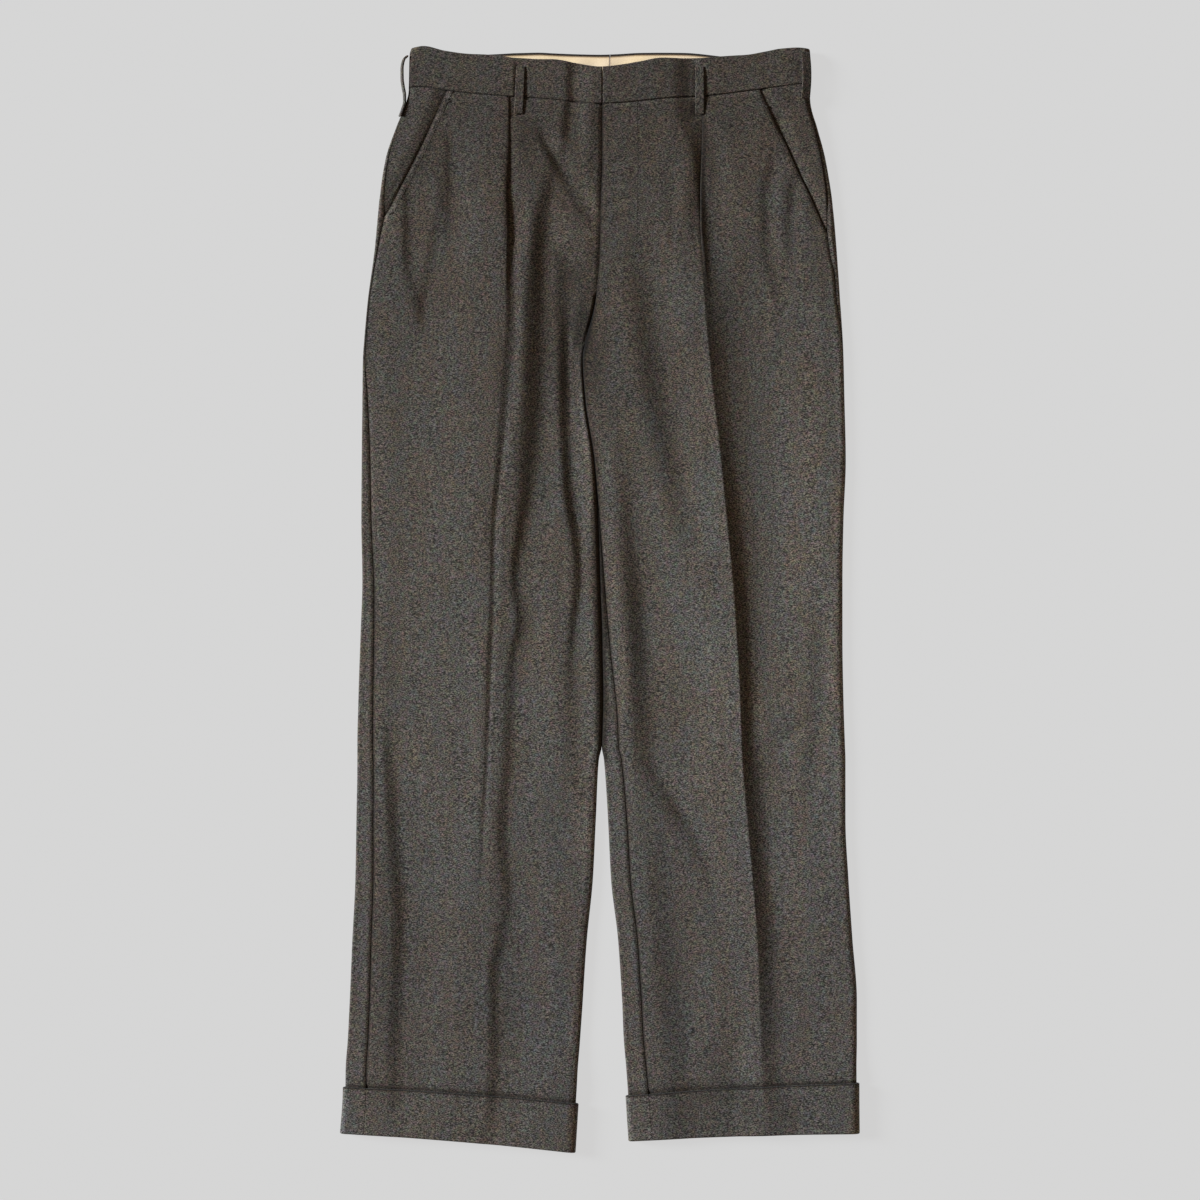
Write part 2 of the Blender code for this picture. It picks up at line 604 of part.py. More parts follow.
def front_lines(leg):
    """The grid lines of a front panel, from its side to its inner edge, as functions of y."""
    mouth_end = POCKET_END_Y[leg.name]

    def side_line(step):
        def point(y):
            if y > mouth_end:
                return ring(leg, y, leg.p(y, MOUTH.at(leg.name, y)) + GAP / 2 + step)
            return ring(leg, y, edge_start(y, CLOTH) + leg.wrap("side", y) + GAP / 2 + step)
        return point

    def inner_line(step):
        def point(y):
            if y < CROTCH_Y:
                start = edge_start(y, CLOTH) + leg.wrap("inseam", y)
                return ring(leg, y, start + GAP / 2 + step, inward=False)
            if leg is LEFT:
                return ring(leg, y, GAP / 2 + step, inward=False)
            s = step + GAP / 2
            if y > FLY_END_Y:
                s -= FLY_UNDERLAP
            return ring(leg, y, s, inward=False, sink=LAYER * fall(s / FLY_SLOPE))
        return point

    def between(name_a, name_b, share):
        def place(name, y):
            if name == "pleat":
                return PLEAT.at(leg.name, y)
            if name == "side":
                return side_line(EDGE_STEPS[-1])(y)[0]
            if name == "inner edge":
                return inner_line(EDGE_STEPS[-1])(y)[0]
            return leg.lines.at(name, y)

        def point(y):
            a = place(name_a, y)
            b = place(name_b, y)
            return front_point(leg, y, a + (b - a) * share)
        return point

    def near_pleat(distance):
        def point(y):
            edge = PLEAT.at(leg.name, y)
            return front_point(leg, y, edge + leg.side * distance)
        return point

    def pleat(index):
        return lambda y: pleat_line(leg, y, index)

    lines = [side_line(step) for step in EDGE_STEPS]
    if leg is RIGHT:
        lines += [between("side", "outer", 1.0), between("outer", "pleat", 0.4)]
        lines += [near_pleat(19.0), near_pleat(9.0)]
        lines += [pleat(i) for i in range(2 * len(PLEAT_TURNS))]
        lines += [between("crease", "crease", 1.0), between("crease", "valley", 0.35)]
        lines += [between("crease", "valley", 0.7)]
        lines += [between("valley", "valley", 1.0), between("valley", "ridge", 0.5)]
        lines += [between("ridge", "ridge", 1.0), between("ridge", "inner", 0.5)]
        lines += [between("inner", "inner", 1.0), between("inner", "inner edge", 0.55)]
    else:
        lines += [between("side", "outer", 1.0), between("outer", "foot", 0.5)]
        lines += [between("foot", "foot", 1.0), between("foot", "pleat", 0.5)]
        lines += [pleat(i) for i in range(2 * len(PLEAT_TURNS))]
        lines += [between("pleat", "plane", 0.5), between("plane", "plane", 1.0)]
        lines += [between("plane", "valley", 0.5), between("valley", "valley", 1.0)]
        lines += [between("valley", "inner", 0.5), between("inner", "inner", 1.0)]
    lines += [inner_line(step) for step in reversed(EDGE_STEPS)]
    return lines


def back_lines(leg):
    """The grid lines of a back panel, from its side seam round under the leg to its inner seam."""
    def centre_seam(y, distance):
        x = OUTLINE.at("centre_back", y) + leg.side * (GAP / 2 + distance)
        return x, TUBE.at("base", y) + CLOTH / 2

    def edge(seam, inward, step):
        """Step 0 is the seam; the last step is where the edge's arc meets the base."""
        def point(y):
            if not inward and y > CROTCH_Y:
                return centre_seam(y, step * CENTRE_STEP)
            start = edge_start(y, CLOTH)
            quarter = edge_radius(y, CLOTH) * math.pi / 2
            first = start + leg.wrap(seam, y) - GAP / 2
            last = start - quarter
            turn = min(start + quarter, first + (last - first) * TOP_STEPS / ARC_STEPS)
            if step < TOP_STEPS:
                return ring(leg, y, first + (turn - first) * step / TOP_STEPS, inward=inward)
            share = (step - TOP_STEPS) / (ARC_STEPS - TOP_STEPS)
            return ring(leg, y, turn + (last - turn) * share, inward=inward)
        return point

    def flat(share):
        def point(y):
            a = leg.x(y, FLAT_FROM_EDGE)
            b = leg.inner(y) if y < CROTCH_Y else OUTLINE.at("centre_back", y)
            b += leg.side * FLAT_FROM_EDGE
            return a + (b - a) * share, TUBE.at("base", y) + CLOTH / 2
        return point

    steps = range(ARC_STEPS + 1)
    lines = [edge("side", True, step) for step in steps]
    lines += [flat(share) for share in (0.0, 1 / 3, 2 / 3, 1.0)]
    lines += [edge("inseam", False, step) for step in reversed(steps)]
    return lines


def waist_y(x, z, wall, which):
    """y of the seam or of the top edge; it passes from the back's to the front's over the side."""
    top = TUBE.at("height", SEAM_Y) - wall / 2
    share = 1 - fall((z - wall / 2) / (top - wall))
    back = WAIST.at("back_" + which, x)
    return back + (WAIST.at("front_" + which, x) - back) * share


def hem_y(leg, x, row):
    """y of a slanting row near the hem, at a place across the leg."""
    outer = HEM_ROWS.at(leg.name + "_outer", row)
    inner = HEM_ROWS.at(leg.name + "_inner", row)
    share = leg.p(HEM_Y, x) / leg.width(HEM_Y)
    bow = HEM_BOW[leg.name] * 4 * share * (1 - share)
    return outer + (inner - outer) * share + bow


def follow(line, row_y, start):
    """The point (x, y, z) where a grid line crosses a row whose y depends on the place."""
    y = start
    for _ in range(3):
        x, z = line(y)
        y = row_y(x, z)
    x, z = line(y)
    return x, y, z


def waist_row(lines, y, share):
    """A row near the waist; with a share of 1 it is the seam itself."""
    def row_y(x, z):
        seam = waist_y(x, z, CLOTH, "seam") - GAP / 2
        return y + (seam - SEAM_Y) * share
    return [follow(line, row_y, y) for line in lines]


def hem_row(leg, lines, row):
    start = HEM_ROWS.at(leg.name + "_outer", row)
    return [follow(line, lambda x, z: hem_y(leg, x, row), start) for line in lines]


def plain_row(lines, y):
    points = [line(y) for line in lines]
    return [(x, y, z) for x, z in points]


def panel_rows(lines, last_y):
    """Rows of points for a panel, from the waist seam down to a height."""
    rows = [waist_row(lines, y, share) for y, share in WAIST_ROWS]
    return rows + [plain_row(lines, y) for y in PLAIN_ROWS if y >= last_y]


def cross(a, b):
    return (a[1] * b[2] - a[2] * b[1], a[2] * b[0] - a[0] * b[2], a[0] * b[1] - a[1] * b[0])


def unit(a):
    length = math.sqrt(a[0] * a[0] + a[1] * a[1] + a[2] * a[2])
    return (a[0] / length, a[1] / length, a[2] / length)


def moved_out(points, across, distance):
    """A row of points moved square to itself and to the direction across it."""
    steps = [[b[k] - a[k] for k in range(3)] for a, b in zip(points, points[1:])]
    lengths = [math.dist(a, b) for a, b in zip(points, points[1:])]
    steps = [unit(step) for step in steps]
    moved = []
    for i, point in enumerate(points):
        if 0 < i < len(steps):
            along = [steps[i - 1][k] + steps[i][k] for k in range(3)]
        elif len(steps) == 1:
            along = steps[0]
        else:
            near, far = (0, 1) if i == 0 else (-1, -2)
            bend = lengths[near] / (lengths[near] + lengths[far])
            along = [steps[near][k] * (1 + bend) - steps[far][k] * bend for k in range(3)]
        normal = unit(cross(across, along))
        moved.append(tuple(point[k] + normal[k] * distance for k in range(3)))
    return moved


def material(name, colour):
    made = bpy.data.materials.new(name)
    made.use_nodes = True
    shader = made.node_tree.nodes["Principled BSDF"]
    shader.inputs["Base Color"].default_value = colour
    shader.inputs["Roughness"].default_value = 0.85
    shader.inputs["Metallic"].default_value = 0.0
    made.diffuse_color = colour
    return made


def wall_solid(name, rows, thickness, across=(0.0, 1.0, 0.0), colour=WOOL):
    """One closed wall of cloth around a grid of middle points."""
    mesh = bpy.data.meshes.new(name)
    grid = bmesh.new()
    skins = []
    for distance in (thickness / 2, -thickness / 2):
        skin = []
        for row in rows:
            skin.append([grid.verts.new([c * METRES for c in point])
                         for point in moved_out(row, across, distance)])
        skins.append(skin)
    last_row = len(rows) - 1
    last_column = len(rows[0]) - 1
    for skin in skins:
        for j in range(last_row):
            for i in range(last_column):
                grid.faces.new((skin[j][i], skin[j][i + 1], skin[j + 1][i + 1], skin[j + 1][i]))
    rim = [(0, i) for i in range(last_column)]
    rim += [(j, last_column) for j in range(last_row)]
    rim += [(last_row, i) for i in range(last_column, 0, -1)]
    rim += [(j, 0) for j in range(last_row, 0, -1)]
    for k, (j, i) in enumerate(rim):
        next_j, next_i = rim[(k + 1) % len(rim)]
        grid.faces.new((skins[0][j][i], skins[0][next_j][next_i],
                        skins[1][next_j][next_i], skins[1][j][i]))
    bmesh.ops.recalc_face_normals(grid, faces=grid.faces)
    bmesh.ops.triangulate(grid, faces=grid.faces)
    grid.to_mesh(mesh)
    grid.free()
    mesh.materials.append(material(name, colour))
    mesh.shade_smooth()
    made = bpy.data.objects.new(name, mesh)
    bpy.context.collection.objects.link(made)
    return made


def build_leg(leg):
    for part, lines in (("front", front_lines(leg)), ("back", back_lines(leg))):
        rows = panel_rows(lines, last_y=PLAIN_ROWS[-1])
        rows += [hem_row(leg, lines, row) for row in LEG_ROWS]
        wall_solid(f"{leg.name}_{part}", rows, CLOTH)


def build_pocket_side(leg):
    """The piece behind the slanted mouth, from the side seam to a little under the front."""
    def line(share):
        def point(y):
            start = edge_start(y, CLOTH) + leg.wrap("side", y) + GAP / 2
            mouth = leg.p(y, MOUTH.at(leg.name, y))
            end = mouth + POCKET_UNDERLAP
            s = start + (end - start) * share
            return ring(leg, y, s, sink=LAYER * fall((mouth - 1.0 - s) / POCKET_SLOPE))
        return point

    lines = [line((i / POCKET_STEPS) ** POCKET_CROWDING) for i in range(POCKET_STEPS + 1)]
    rows = panel_rows(lines, last_y=POCKET_END_Y[leg.name])
    wall_solid(leg.name + "_pocket_side", rows, CLOTH)


def band_point(leg, s, share):
    """A point of the waistband's middle surface; share runs from its seam to its top edge."""
    x, z = ring(leg, BAND_Y, s, wall=BAND)
    flat_z = z - (lift(leg, x, BAND_Y) if s > BAND else 0.0)
    seam = waist_y(x, flat_z, BAND, "seam") + GAP / 2
    y = seam + (waist_y(x, flat_z, BAND, "top") - seam) * share
    inset = (leg.outer(y) - leg.outer(BAND_Y)) * fall(leg.p(BAND_Y, x) / BAND_TAPER)
    return x + inset, y, z + ring(leg, y, s, wall=BAND)[1] - ring(leg, BAND_Y, s, wall=BAND)[1]


def build_waistband(leg):
    """From the centre front round the side to the centre back, as one bent wall."""
    start = edge_start(BAND_Y, BAND)
    quarter = edge_radius(BAND_Y, BAND) * math.pi / 2
    front_end = leg.p(BAND_Y, OUTLINE.at("centre", BAND_Y)) - GAP / 2
    back_end = leg.p(BAND_Y, OUTLINE.at("centre_back", BAND_Y)) - GAP / 2
    places = [front_end - distance for distance in BAND_ENDS]
    places += [places[-1] + (BAND_SIDE - places[-1]) * i / BAND_FRONT_STEPS
               for i in range(1, BAND_FRONT_STEPS + 1)]
    places += [BAND_BEND]
    places += [start + quarter * turn for turn in BAND_TURN]
    places += [2 * start - (BAND_SIDE + (back_end - BAND_SIDE) * i / BAND_BACK_STEPS)
               for i in range(BAND_BACK_STEPS + 1)]
    rows = [[band_point(leg, s, share) for s in places] for share in BAND_SHARES]
    wall_solid(leg.name + "_waistband", rows, BAND)


def build_waist_lining(leg):
    """Cotton on the inside of the waistband's back, as far out as it shows."""
    centre = OUTLINE.at("centre_back", BAND_Y) + leg.side * GAP / 2
    side = leg.side * LINING_END_X
    rows = []
    for share in LINING_SHARES:
        row = []
        for i in range(LINING_STEPS + 1):
            x = centre + (side - centre) * i / LINING_STEPS
            seam = WAIST.at("back_seam", x)
            y = seam + (WAIST.at("back_top", x) - seam) * share
            row.append((x, y, BAND + GAP + LINING / 2))
        rows.append(row)
    wall_solid(leg.name + "_waist_lining", rows, LINING, colour=COTTON)


def skin_top(leg, x, y):
    """Height of the outside of the front or the waistband, without the drop at the pleat."""
    return TUBE.at("base", y) + TUBE.at("height", y) + lift(leg, x, y)


def loop_arch(t):
    """Share of a loop's full height at t along it; its two ends are sewn down flat."""
    return math.sin(math.pi * t) ** LOOP_FULLNESS if 0 < t < 1 else 0.0


def build_front_loop(leg):
    """A strip over the waistband, sewn down above and below it."""
    top_x, bottom_x = FRONT_LOOP_X[leg.name]
    half = LOOP_WIDTH / 2
    rows = []
    for edge in (-half, half):
        row = []
        for i in range(LOOP_STEPS + 1):
            t = i / LOOP_STEPS
            x = bottom_x + (top_x - bottom_x) * t
            y = FRONT_LOOP_BOTTOM_Y + (FRONT_LOOP_TOP_Y - FRONT_LOOP_BOTTOM_Y) * t
            under = max(skin_top(leg, x + side, y) for side in (-half, 0.0, half))
            arch = FRONT_LOOP_STAND * loop_arch(t)
            row.append((x + edge, y, under + GAP + LOOP / 2 + arch))
        rows.append(row)
    wall_solid(leg.name + "_front_loop", rows, LOOP, across=(1.0, 0.0, 0.0))


# The right side loop is seen edge-on, standing off the fold of the waistband.
RIGHT_SIDE_LOOP = (
    (-192.9, 544.0), (-195.4, 542.6), (-197.4, 538.6), (-198.5, 531.0), (-198.4, 522.0),
    (-197.3, 513.0), (-196.0, 505.5), (-195.9, 499.0), (-197.9, 491.5), (-200.6, 484.0),
)


def build_right_side_loop():
    rows = [[(x, y, GAP + z) for x, y in RIGHT_SIDE_LOOP] for z in (0.0, LOOP_WIDTH)]
    wall_solid("right_side_loop", rows, LOOP, across=(0.0, 0.0, 1.0))


def build_left_side_loop():
    """This one lies on the fold, its outer edge a little lower."""
    rest_z = TUBE.at("height", SEAM_Y) + GAP + LOOP / 2 + SIDE_LOOP_LIFT
    rows = []
    for edge, drop in ((-LOOP_WIDTH, 0.0), (0.0, SIDE_LOOP_TILT)):
        row = []
        for i in range(LOOP_STEPS + 1):
            t = i / LOOP_STEPS
            x = SIDE_LOOP_X - SIDE_LOOP_WAIST * (1 - math.sin(math.pi * t)) + edge
            y = SIDE_LOOP_BOTTOM_Y + (SIDE_LOOP_TOP_Y - SIDE_LOOP_BOTTOM_Y) * t
            row.append((x, y, rest_z - drop + SIDE_LOOP_STAND * loop_arch(t)))
        rows.append(row)
    wall_solid("left_side_loop", rows, LOOP, across=(1.0, 0.0, 0.0))


def build_turnup(leg):
    """A band round the end of the leg: the leg's own points, moved out."""
    outward = CLOTH / 2 + GAP + BAND / 2
    for part, lines in (("front", front_lines(leg)), ("back", back_lines(leg))):
        rows = []
        for row in TURNUP_ROWS:
            points = hem_row(leg, lines, row)
            raised = moved_out(points, (0.0, 1.0, 0.0), outward)
            middle = len(points) // 2
            upwards = raised[middle][2] > points[middle][2]
            if upwards != (part == "front"):
                raised = moved_out(points, (0.0, 1.0, 0.0), -outward)
            rows.append(raised)
        wall_solid(f"{leg.name}_turnup_{part}", rows, BAND)


def main():
    for old in list(bpy.data.objects):
        bpy.data.objects.remove(old, do_unlink=True)
    for leg in (RIGHT, LEFT):
        build_leg(leg)
        build_pocket_side(leg)
        build_waistband(leg)
        build_waist_lining(leg)
        build_turnup(leg)
        build_front_loop(leg)
    build_right_side_loop()
    build_left_side_loop()


main()
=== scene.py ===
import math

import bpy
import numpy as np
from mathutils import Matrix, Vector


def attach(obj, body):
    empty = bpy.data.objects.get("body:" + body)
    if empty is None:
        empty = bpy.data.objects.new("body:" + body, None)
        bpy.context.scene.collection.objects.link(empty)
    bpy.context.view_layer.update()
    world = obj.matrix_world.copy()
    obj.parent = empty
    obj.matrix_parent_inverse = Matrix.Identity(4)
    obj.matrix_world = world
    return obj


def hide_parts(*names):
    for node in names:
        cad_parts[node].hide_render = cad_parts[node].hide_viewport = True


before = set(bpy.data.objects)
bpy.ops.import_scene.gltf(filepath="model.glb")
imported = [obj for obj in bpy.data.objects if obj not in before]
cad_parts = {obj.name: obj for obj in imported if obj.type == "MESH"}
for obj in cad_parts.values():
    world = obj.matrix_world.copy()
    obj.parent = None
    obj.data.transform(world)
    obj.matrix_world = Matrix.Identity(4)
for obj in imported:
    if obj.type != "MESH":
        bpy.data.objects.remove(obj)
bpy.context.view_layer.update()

# The looks of the pleated dress trousers, laid flat on their back.
#
# Each CAD node is replaced by a finer shell of cloth on the same form.  Sizes are in millimetres.
# The cloth's sizes, the tables and the section of a leg are those of the part, and small creases,
# pressed seams and shade are added to them.  Shapes are worked out for whole grids of points at
# once: y, x, p and s are arrays, with one row for each place along the trousers and one column for
# each across them.

METRES = 0.001
norm = np.linalg.norm

# --- sizes ---
CLOTH = 1.2
BAND = 2.4
LINING = 1.2
LOOP = 1.6
GAP = 0.3
LAYER = CLOTH + GAP

CROTCH_Y = 248.0
CROTCH_SHIFT = 8.0  # the centre seam turns into two inseams this far above and below it
FLY_END_Y = 310.0
FLY_END_SHIFT = 10.0
FLY_UNDERLAP = 8.0
FLY_SLOPE = 16.0
FLY_DIP = 1.2  # it dips this much more close to the fly's edge
FLY_DIP_WIDTH = 4.0
POCKET_END_Y = {"right": 381.0, "left": 365.0}
POCKET_UNDERLAP = 8.0
POCKET_SLOPE = 14.0
POCKET_MOUTH_REACH = 1.0
POCKET_DIP_WIDTH = 5.0  # the pocket side dips at the mouth over this width
GAPE_WIDTH = 12.0  # and the front rises over this one
HEM_Y = -500.0
HEM_BOW = {"right": 2.0, "left": 1.5}
EDGE_FADE = {"right": 30.0, "left": 7.0}  # loft and folds fade out this far from the outer edge
INNER_FADE = {"right": 9.0, "left": 30.0}  # and this far from the inner one
LOFT = 1.4
FLAT_FROM_EDGE = 16.0
PLEAT_RADIUS = LAYER / 2
PLEAT_ARC = 1.6
PLEAT_RISE = 26.0
BAND_Y = 525.0
BAND_TAPER = 60.0
BAND_HEIGHT = 39.0
LINING_HEIGHT = 34.0
LINING_END_X = 158.0
LINING_SHARES = (0.12, 0.945)
PUCKER = 0.35  # the lining's small waves: how high, how long, and how much their length sways
PUCKER_LENGTH = 5.3
PUCKER_SWAY = 0.8
PUCKER_SWAY_LENGTH = 17.0
LOOP_WIDTH = 9.0
LOOP_FULLNESS = 0.7
FRONT_LOOP_TOP_Y = 533.0
FRONT_LOOP_BOTTOM_Y = 486.0
FRONT_LOOP_X = {"right": (-79.2, -81.5), "left": (99.5, 99.8)}
FRONT_LOOP_STAND = 1.1
LOOP_BED = 1.4  # the cloth sinks this much under a front loop
LOOP_BED_RIM = 2.2  # and rises again over this width beside it
LOOP_BED_END = 6.0  # and over this length beyond its ends
SIDE_LOOP_TOP_Y = 547.5
SIDE_LOOP_BOTTOM_Y = 501.0
SIDE_LOOP_X = 211.2
SIDE_LOOP_WAIST = 1.4
SIDE_LOOP_STAND = 1.9
SIDE_LOOP_LIFT = 1.5
SIDE_LOOP_TILT = 2.2
SIDE_LOOP_THICKNESS = 2.2
SIDE_LOOP_LEAN = -2.0  # the right one's upper side stands this much nearer to the waistband
SIDE_LOOP_PIVOT = 0.3  # and leans about this share of its width
SEAM_Y = 505.0
LEG_END_Y = -430.0  # from here down the rows slant towards the hem
TURNUP_REACH = 0.12  # a turn-up's sides reach this much further, to all but close its seams
TURNUP_BLUNT = 5.0  # and are this much less round
TURNUP_DIP = 1.6  # the leg is pressed in along a turn-up's top edge
TURNUP_DIP_WIDTH = 6.0
SEAM_PRESS = 0.8  # a panel is pressed in this much at its seams and edges
SEAM_PRESS_WIDTH = 3.6
FACING_UP = (0.3, 0.6)  # from this z of its normal on, and in full after this much more
FORK_Y = 250.0  # where the legs part it isn't pressed
FORK_REACH = 60.0
FORK_LAP = 0.32  # the left front's edge lies this much further over there
FORK_LAP_REACH = 18.0
CENTRE_BACK_X = 9.0
LOWEST = 0.66  # no panel's middle comes nearer to the surface it lies on

# --- the fine grids ---
RIM = np.array((0, 0.05, 0.16, 0.36, 0.6, 1, 1.6, 2.3, 3.1, 4.2, 5.6, 7))  # columns at a seam
BAND_RIM = np.array((0, 0.1, 0.32, 0.7, 1.2, 2.2, 4))
LOOP_RIM = np.array((0, 0.08, 0.24, 0.5, 0.8, 1.4))
ROW_STEP_TOP = 2.3  # rows above FINE_ABOVE_Y, where the fly and the pockets are
ROW_STEP = 3.7
FINE_ABOVE_Y = 360.0
MOUTH_BLEND = 8.0  # a front's edge passes from the seam to the mouth over this height
BAND_STEPS = (1.8, 5.0)  # columns of the waistband on the front and on the back
BAND_BEND_COLUMNS = 15  # and round the side
BAND_ROW_STEP = 2.4
TURNUP_ROW_STEP = 3.0
LINING_STEPS = (2.5, 2.0)  # across and along y
LOOP_STEPS = (1.0, 0.7)  # along and across a loop
POCKET_COLUMNS = 14  # of a pocket side between its rims
BACK_EDGE_STEPS = 20  # columns of a back from its rim round the edge of the leg
BACK_FLAT_STEPS = 24
BACK_EDGE_EXTRA = 2.0  # the first of them end this much past the bend
FRONT_SPANS = {  # columns of a front between its lines
    "right": (("side", "outer", 9), ("outer", "pleat start", 27), ("pleat end", "crease", 7),
              ("crease", "valley", 8), ("valley", "ridge", 8), ("ridge", "inner", 6),
              ("inner", "inner edge", 13)),
    "left": (("side", "outer", 12), ("outer", "foot", 14), ("foot", "pleat start", 9),
             ("pleat end", "plane", 13), ("plane", "valley", 14), ("valley", "inner", 10),
             ("inner", "inner edge", 9)),
}


class Table:
    """Rows of numbers under named columns.  The first column is the key the rows are read by."""

    def __init__(self, names, *rows):
        grid = np.array(sorted(rows), float)
        self.keys = grid[:, 0]
        self.columns = dict(zip(names.split(), grid.T))
        self.slopes = {name: self.slope(values) for name, values in self.columns.items()}

    def slope(self, values):
        """Slopes at the rows: the harmonic mean of the slopes on both sides of each."""
        steps = np.diff(values) / np.diff(self.keys)
        before, after = steps[:-1], steps[1:]
        same_way = before * after > 0
        total = np.where(same_way, before + after, 1.0)
        return join(steps[:1], np.where(same_way, 2 * before * after / total, 0.0), steps[-1:])

    def at(self, name, key):
        """The column's values at the keys, on a smooth curve that never swings past the rows."""
        values, slopes = self.columns[name], self.slopes[name]
        key = np.clip(key, self.keys[0], self.keys[-1])
        i = np.clip(np.searchsorted(self.keys, key, side="right") - 1, 0, len(self.keys) - 2)
        span = self.keys[i + 1] - self.keys[i]
        t = (key - self.keys[i]) / span
        start, end = slopes[i] * span, slopes[i + 1] * span
        rise = values[i + 1] - values[i]
        bend = 3 * rise - 2 * start - end + t * (start + end - 2 * rise)
        return values[i] + t * (start + t * bend)


def numbered(names, *rows):
    """A table whose key is the number of the row, from 0."""
    return Table("row " + names, *((k, *row) for k, row in enumerate(rows)))


def named(names, *rows):
    """Rows that are read one by one; a last number that is 0 may be left out."""
    names = names.split()
    return [dict(zip(names, (*row, 0))) for row in rows]


def fold(*rows):
    """The line of a fold with its height, its reach to both sides and its sharpness."""
    return Table("y x height minus_x plus_x sharp", *((*row, 0)[:6] for row in rows))


def fall(t):
    """1 at t = 0, easing down to 0 at t = 1."""
    t = np.clip(t, 0.0, 1.0)
    return (1 - t) * (1 - t) * (1 + 2 * t)


def mix(a, b, share):
    return a + (b - a) * share


def join(*parts, axis=0):
    return np.concatenate(parts, axis=axis)


def steps_between(a, b, step):
    count = max(2, int(round(abs(b - a) / step)))
    return np.linspace(a, b, count + 1)


def crowded(length, step, rim=RIM):
    """Places from 0 to length in even steps, closer together at both rims."""
    return join(rim, steps_between(rim[-1], length - rim[-1], step)[1:-1], length - rim[::-1])


def run_along(points, axis=0):
    """The distance along lines of points from their first one."""
    steps = norm(np.diff(points, axis=axis), axis=-1)
    return join(np.zeros_like(np.take(steps, [0], axis)), np.cumsum(steps, axis), axis=axis)


OUTLINE = Table(
    "y right_outer centre parting left_outer centre_back",
    (554, -188, 2.5, 0, 209.6, 10), (545, -190.6, 2.5, 0, 210.4, 10),
    (508, -191.6, 2.5, 0, 210, 10), (498, -194, 2.5, 0, 210.6, 10), (490, -197, 2.5, 0, 212, 10),
    (474, -203.6, 2.5, 0, 217, 10), (440, -215, 2.5, 0, 226, 10), (400, -221, 1, 0, 232.5, 9),
    (350, -225.8, 0, 0, 237, 6), (300, -232.5, -4.5, 0, 240.5, -2),
    (262, -236, -13.5, 0, 243, -13), (240, -237.5, -17.5, -0.3, 244, -17),
    (200, -238, -15, -0.3, 245, -15), (140, -238.6, -6, -0.3, 246.3, -6),
    (80, -239, -2, -0.3, 244, -2), (20, -238, 0, -0.3, 243, 0), (-40, -240, 2, -0.3, 243, 2),
    (-100, -242, 3, -0.3, 244, 3), (-146, -243, 1.8, -0.3, 245.5, 2),
    (-160, -243, 1.5, 5, 246, 2), (-220, -244, 2, 12, 246, 2), (-280, -245, 2, 18, 249, 2),
    (-340, -248, 2.5, 31, 253, 2), (-400, -250.6, 2.5, 39, 257.4, 2),
    (-440, -252.6, 2, 43.5, 257.4, 2), (-470, -254.6, 2.1, 48.5, 256.9, 2),
    (-490, -254.7, 2.3, 51, 256.9, 2), (-553, -259.3, 2.4, 59, 257.4, 2))

# How far the back is wrapped round an edge up to its seam.
WRAP = Table(
    "y right_side right_inseam left_inseam left_side",
    (505, 2.2, 0, 0, 2.2), (470, 3, 0, 0, 4), (440, 4, 0, 0, 5), (410, 5, 0, 0, 5.5),
    (381, 6.8, 0, 0, 7.5), (365, 5, 0, 0, 8.6), (346, 3.5, 0, 0, 7.5), (326, 2.5, 0, 0, 4.5),
    (300, 2, 0, 0, 4), (271, 2.4, 0, 0, 2), (240, 3, 0, 0, 0.3), (200, 6, 0, 0, 0),
    (140, 9, 0, 0, 0), (40, 11.5, 0, 4, 0), (-40, 14, 0, 8, 0), (-160, 16.5, 0, 18, 0),
    (-280, 18.5, 0, 20, 0), (-400, 20.5, 0, 20, 0), (-550, 22, 0, 22, 0))

TUBE = Table(
    "y height base",
    (505, 8.4, 0), (480, 7, 0), (440, 5.6, 0), (400, 4.8, 0), (-435, 4.8, 0), (-462, 4.8, 1.2),
    (-480, 4.8, 2.7), (-560, 4.8, 2.7))

MOUTH = Table(
    "y right left",
    (520, -147, 156), (508, -153.4, 160.9), (481, -166, 173.5), (456, -177.4, 186),
    (427, -192, 199), (405, -203.5, 210), (381, -215, 220.5), (365, -219, 227.2))

MOUTH_GAPE = Table(
    "y right left dip",
    (500, 0, 0, 0.9), (478, 0.2, 0, 1.1), (450, 0.5, 0.1, 1.6), (420, 0.5, 0.1, 1.6),
    (396, 0.2, 0, 1.2), (380, 0, 0, 0.9))

WAIST = Table(
    "x front_seam front_top back_seam back_top",
    (-192, 512, 551.5, 506, 550), (-180, 513, 554, 506, 551.6), (-155, 509.5, 549, 506, 547.2),
    (-131, 506.5, 545.9, 505.4, 545.6), (-115, 505.2, 545.2, 504.6, 546.2),
    (-100, 504, 543.9, 503.5, 546.9), (-86, 503, 541.8, 503.1, 547.7),
    (-75, 502.2, 541.1, 503.9, 548), (-62, 501.2, 540.3, 505.2, 548.3),
    (-47, 500, 540.2, 506, 547.6), (-25, 497.8, 536.6, 506, 546.7), (0, 496, 532.8, 506, 546.2),
    (15, 496.4, 534, 506, 546.6), (40, 498.6, 538, 506, 548), (62, 501, 541.8, 506, 548.2),
    (85, 502.8, 541.4, 505, 548), (95, 503.3, 541.5, 504.6, 547.4),
    (105, 503.9, 541.8, 504, 546.4), (115, 504.6, 542.8, 504.2, 545.2),
    (130, 506.4, 543.9, 505.2, 543.9), (147, 508.6, 545, 506, 544.6),
    (165, 511, 548.2, 506, 546.4), (181, 513.2, 551.2, 506, 549.5), (198, 515.4, 552.3, 506, 550),
    (210, 516.5, 551.2, 506, 549))

